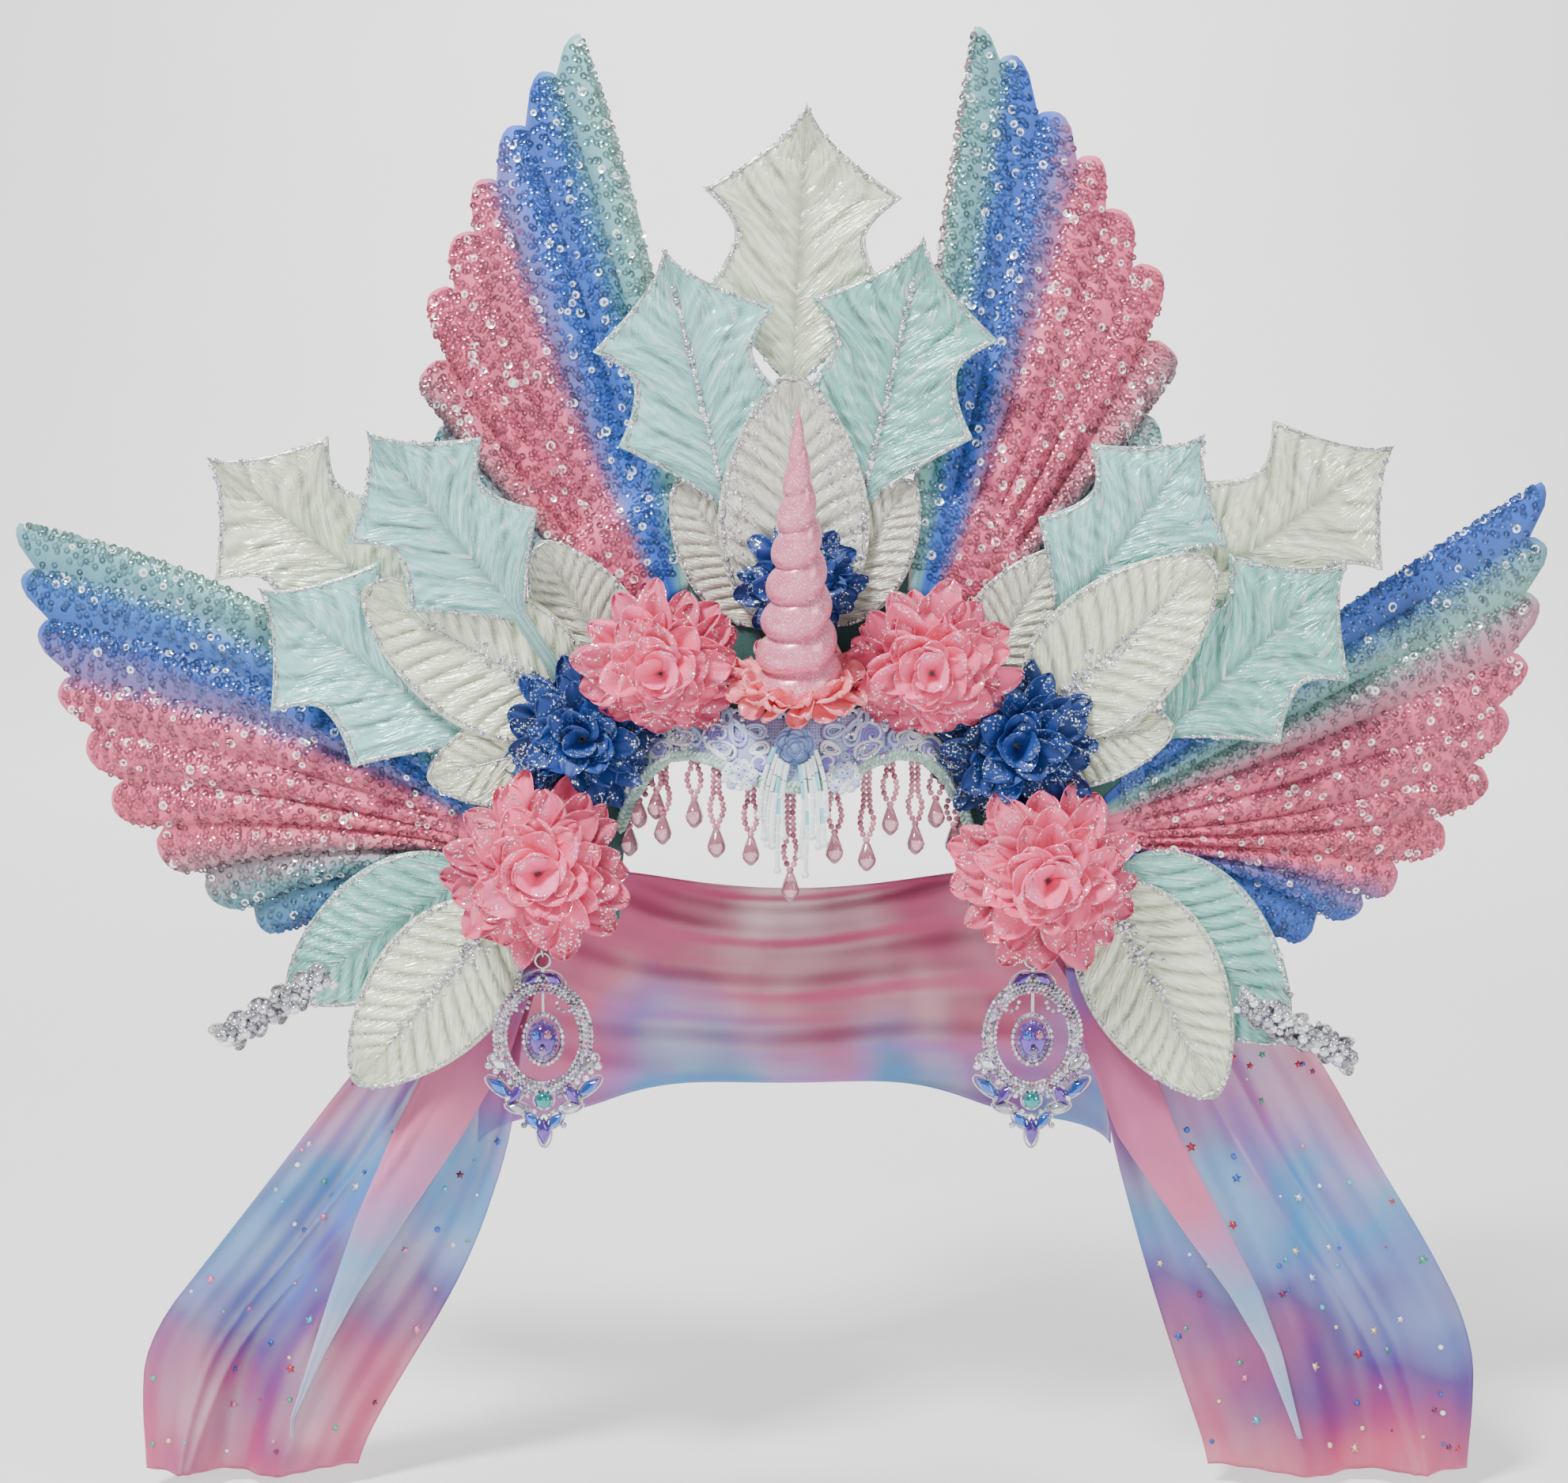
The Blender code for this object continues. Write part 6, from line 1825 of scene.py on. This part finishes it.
def stage_sweep():
    """A pale floor that curves up into the backdrop."""
    obj = new_primitive(bpy.ops.mesh.primitive_plane_add, size=1.0)
    obj.name = "stage_floor"
    for vertex in obj.data.vertices:
        vertex.co = (vertex.co.x * 16, vertex.co.y * 11 + 0.5, FLOOR_Z * MM)
    bpy.ops.object.mode_set(mode="EDIT")
    bpy.ops.mesh.select_mode(type="EDGE")
    bpy.ops.mesh.select_all(action="DESELECT")
    bpy.ops.object.mode_set(mode="OBJECT")
    for edge in obj.data.edges:
        edge.select = all(obj.data.vertices[v].co.y > 2 for v in edge.vertices)
    bpy.ops.object.mode_set(mode="EDIT")
    bpy.ops.mesh.extrude_edges_move(TRANSFORM_OT_translate={"value": (0, 0, 6)})
    bpy.ops.object.mode_set(mode="OBJECT")
    sweep = obj.modifiers.new("sweep", "BEVEL")
    sweep.width, sweep.segments, sweep.limit_method = 2.4, 24, "ANGLE"
    bpy.ops.object.modifier_apply(modifier="sweep")
    obj.data.shade_smooth()
    obj.data.materials.append(finish_of("stage"))


def area_light(name, at, aim, power, size):
    light = bpy.data.lights.new(name, "AREA")
    light.energy, light.size = power, size
    obj = bpy.data.objects.new(name, light)
    obj.location = at
    obj.rotation_euler = (Vector(aim) - Vector(at)).to_track_quat("-Z", "Y").to_euler()
    bpy.context.scene.collection.objects.link(obj)


def studio_lights():
    middle = (0, 0, -0.05)
    area_light("key_light", (-0.9, -1.1, 1.8), middle, 95, 0.45)
    area_light("fill_light", (1.7, -1.4, 0.5), middle, 16, 1.0)
    area_light("top_light", (0.1, 0.3, 2.0), middle, 26, 1.0)
    area_light("front_light", (0.0, -2.4, 0.1), middle, 9, 1.6)
    area_light("backdrop_light", (0.0, 2.8, 3.4), (0, 5.4, 0.0), 420, 3.0)
    world = bpy.data.worlds.new("studio")
    world.use_nodes = True
    world.node_tree.nodes["Background"].inputs["Color"].default_value = (0.92, 0.94, 0.97, 1)
    world.node_tree.nodes["Background"].inputs["Strength"].default_value = 0.28
    bpy.context.scene.world = world


def camera():
    lens = bpy.data.cameras.new("photo_view")
    lens.lens, lens.sensor_width, lens.sensor_fit = VIEW_LENS, 36.0, "HORIZONTAL"
    lens.clip_start, lens.clip_end = 0.01, 50
    obj = bpy.data.objects.new("photo_view", lens)
    pitch = math.radians(VIEW_PITCH_DEG)
    centre = Vector(VIEW_CENTRE) * MM
    obj.location = centre + Vector((0, -math.cos(pitch), math.sin(pitch))) * VIEW_DISTANCE * MM
    obj.rotation_euler = (math.pi / 2 - pitch, 0, 0)
    bpy.context.scene.collection.objects.link(obj)
    bpy.context.scene.camera = obj


# Operators, one for each group of like pieces

class CROWN_OT_felt_base(bpy.types.Operator):
    """Makes the felt band, crest and brow panel"""
    bl_idname, bl_label = "crown.felt_base", "Felt base"

    def execute(self, context):
        for name in ("head_band", "felt_crest", "brow_panel"):
            felt_piece(name)
        return {"FINISHED"}


class CROWN_OT_wings(bpy.types.Operator):
    """Makes the four padded wings and sews their sequins"""
    bl_idname, bl_label = "crown.wings", "Wings"

    def execute(self, context):
        for number, wing in enumerate(WINGS):
            wing_body(wing)
            wing_sequins(wing, draws(number))
        return {"FINISHED"}


class CROWN_OT_leaves(bpy.types.Operator):
    """Makes the satin leaves with their glitter cord and stones"""
    bl_idname, bl_label = "crown.leaves", "Leaves"

    def execute(self, context):
        for number, leaf in enumerate(LEAVES):
            leaf_body(leaf)
            leaf_trim(leaf, draws(100 + number))
        return {"FINISHED"}


class CROWN_OT_flowers(bpy.types.Operator):
    """Makes the chiffon flowers"""
    bl_idname, bl_label = "crown.flowers", "Flowers"

    def execute(self, context):
        for number, flower in enumerate(FLOWERS):
            flower_body(flower, draws(200 + number))
        return {"FINISHED"}


class CROWN_OT_horn(bpy.types.Operator):
    """Makes the spiral horn and the ruffle round its foot"""
    bl_idname, bl_label = "crown.horn", "Horn and ruffle"

    def execute(self, context):
        horn_body()
        ruffle_body(draws(300))
        return {"FINISHED"}


class CROWN_OT_brow(bpy.types.Operator):
    """Makes the brow lace, its braid, the rose, the tassel and the bead fringe"""
    bl_idname, bl_label = "crown.brow", "Brow"

    def execute(self, context):
        lace_net()
        lace_thread(draws(400))
        lace_paillettes(draws(405))
        lace_braid()
        bead_fringe(draws(40))
        moulded_rose(draws(410))
        bugle_strings(draws(420))
        return {"FINISHED"}


class CROWN_OT_jewels(bpy.types.Operator):
    """Makes the two pendants, their hooks' metal and the crystal sprays"""
    bl_idname, bl_label = "crown.jewels", "Jewels"

    def execute(self, context):
        for number, (name, x) in enumerate(PENDANTS):
            pendant(name, x, draws(500 + number))
        for name in ("pendant_hook_left", "pendant_hook_right"):
            hook = frame["nodes"][name]
            hook.data.materials.clear()
            hook.data.materials.append(finish_of("metal"))
        for number, spray in enumerate(SPRAYS):
            crystal_spray(spray, draws(520 + number))
        return {"FINISHED"}


class CROWN_OT_scarf(bpy.types.Operator):
    """Makes the tulle scarf and its confetti"""
    bl_idname, bl_label = "crown.scarf", "Scarf"

    def execute(self, context):
        for number, name in enumerate(TAILS):
            tail_cloth(name)
            confetti(name, draws(600 + number))
        swag_cloth()
        return {"FINISHED"}


class CROWN_OT_stage(bpy.types.Operator):
    """Makes the floor, the lights and the camera"""
    bl_idname, bl_label = "crown.stage", "Stage"

    def execute(self, context):
        stage_sweep()
        studio_lights()
        camera()
        return {"FINISHED"}


class CROWN_PT_panel(bpy.types.Panel):
    bl_label = "Crown"
    bl_idname = "CROWN_PT_panel"
    bl_space_type = "VIEW_3D"
    bl_region_type = "UI"
    bl_category = "Crown"

    def draw(self, context):
        for group in (context.scene.crown_sizes, context.scene.crown_colours):
            for key in group.__annotations__:
                self.layout.prop(group, key)
        for operator in OPERATORS:
            self.layout.operator(operator.bl_idname)


OPERATORS = (
    CROWN_OT_stage, CROWN_OT_felt_base, CROWN_OT_wings, CROWN_OT_leaves, CROWN_OT_flowers, CROWN_OT_horn,
    CROWN_OT_brow, CROWN_OT_jewels, CROWN_OT_scarf,
)
CLASSES = (CrownSizes, CrownColours, *OPERATORS, CROWN_PT_panel)


def register():
    for each in CLASSES:
        bpy.utils.register_class(each)
    bpy.types.Scene.crown_sizes = PointerProperty(type=CrownSizes)
    bpy.types.Scene.crown_colours = PointerProperty(type=CrownColours)


def unregister():
    del bpy.types.Scene.crown_colours
    del bpy.types.Scene.crown_sizes
    for each in reversed(CLASSES):
        bpy.utils.unregister_class(each)


def main():
    register()
    deselect_all()
    for operator in OPERATORS:
        getattr(bpy.ops.crown, operator.bl_idname.split(".")[1])()


if __name__ == "__main__":
    main()
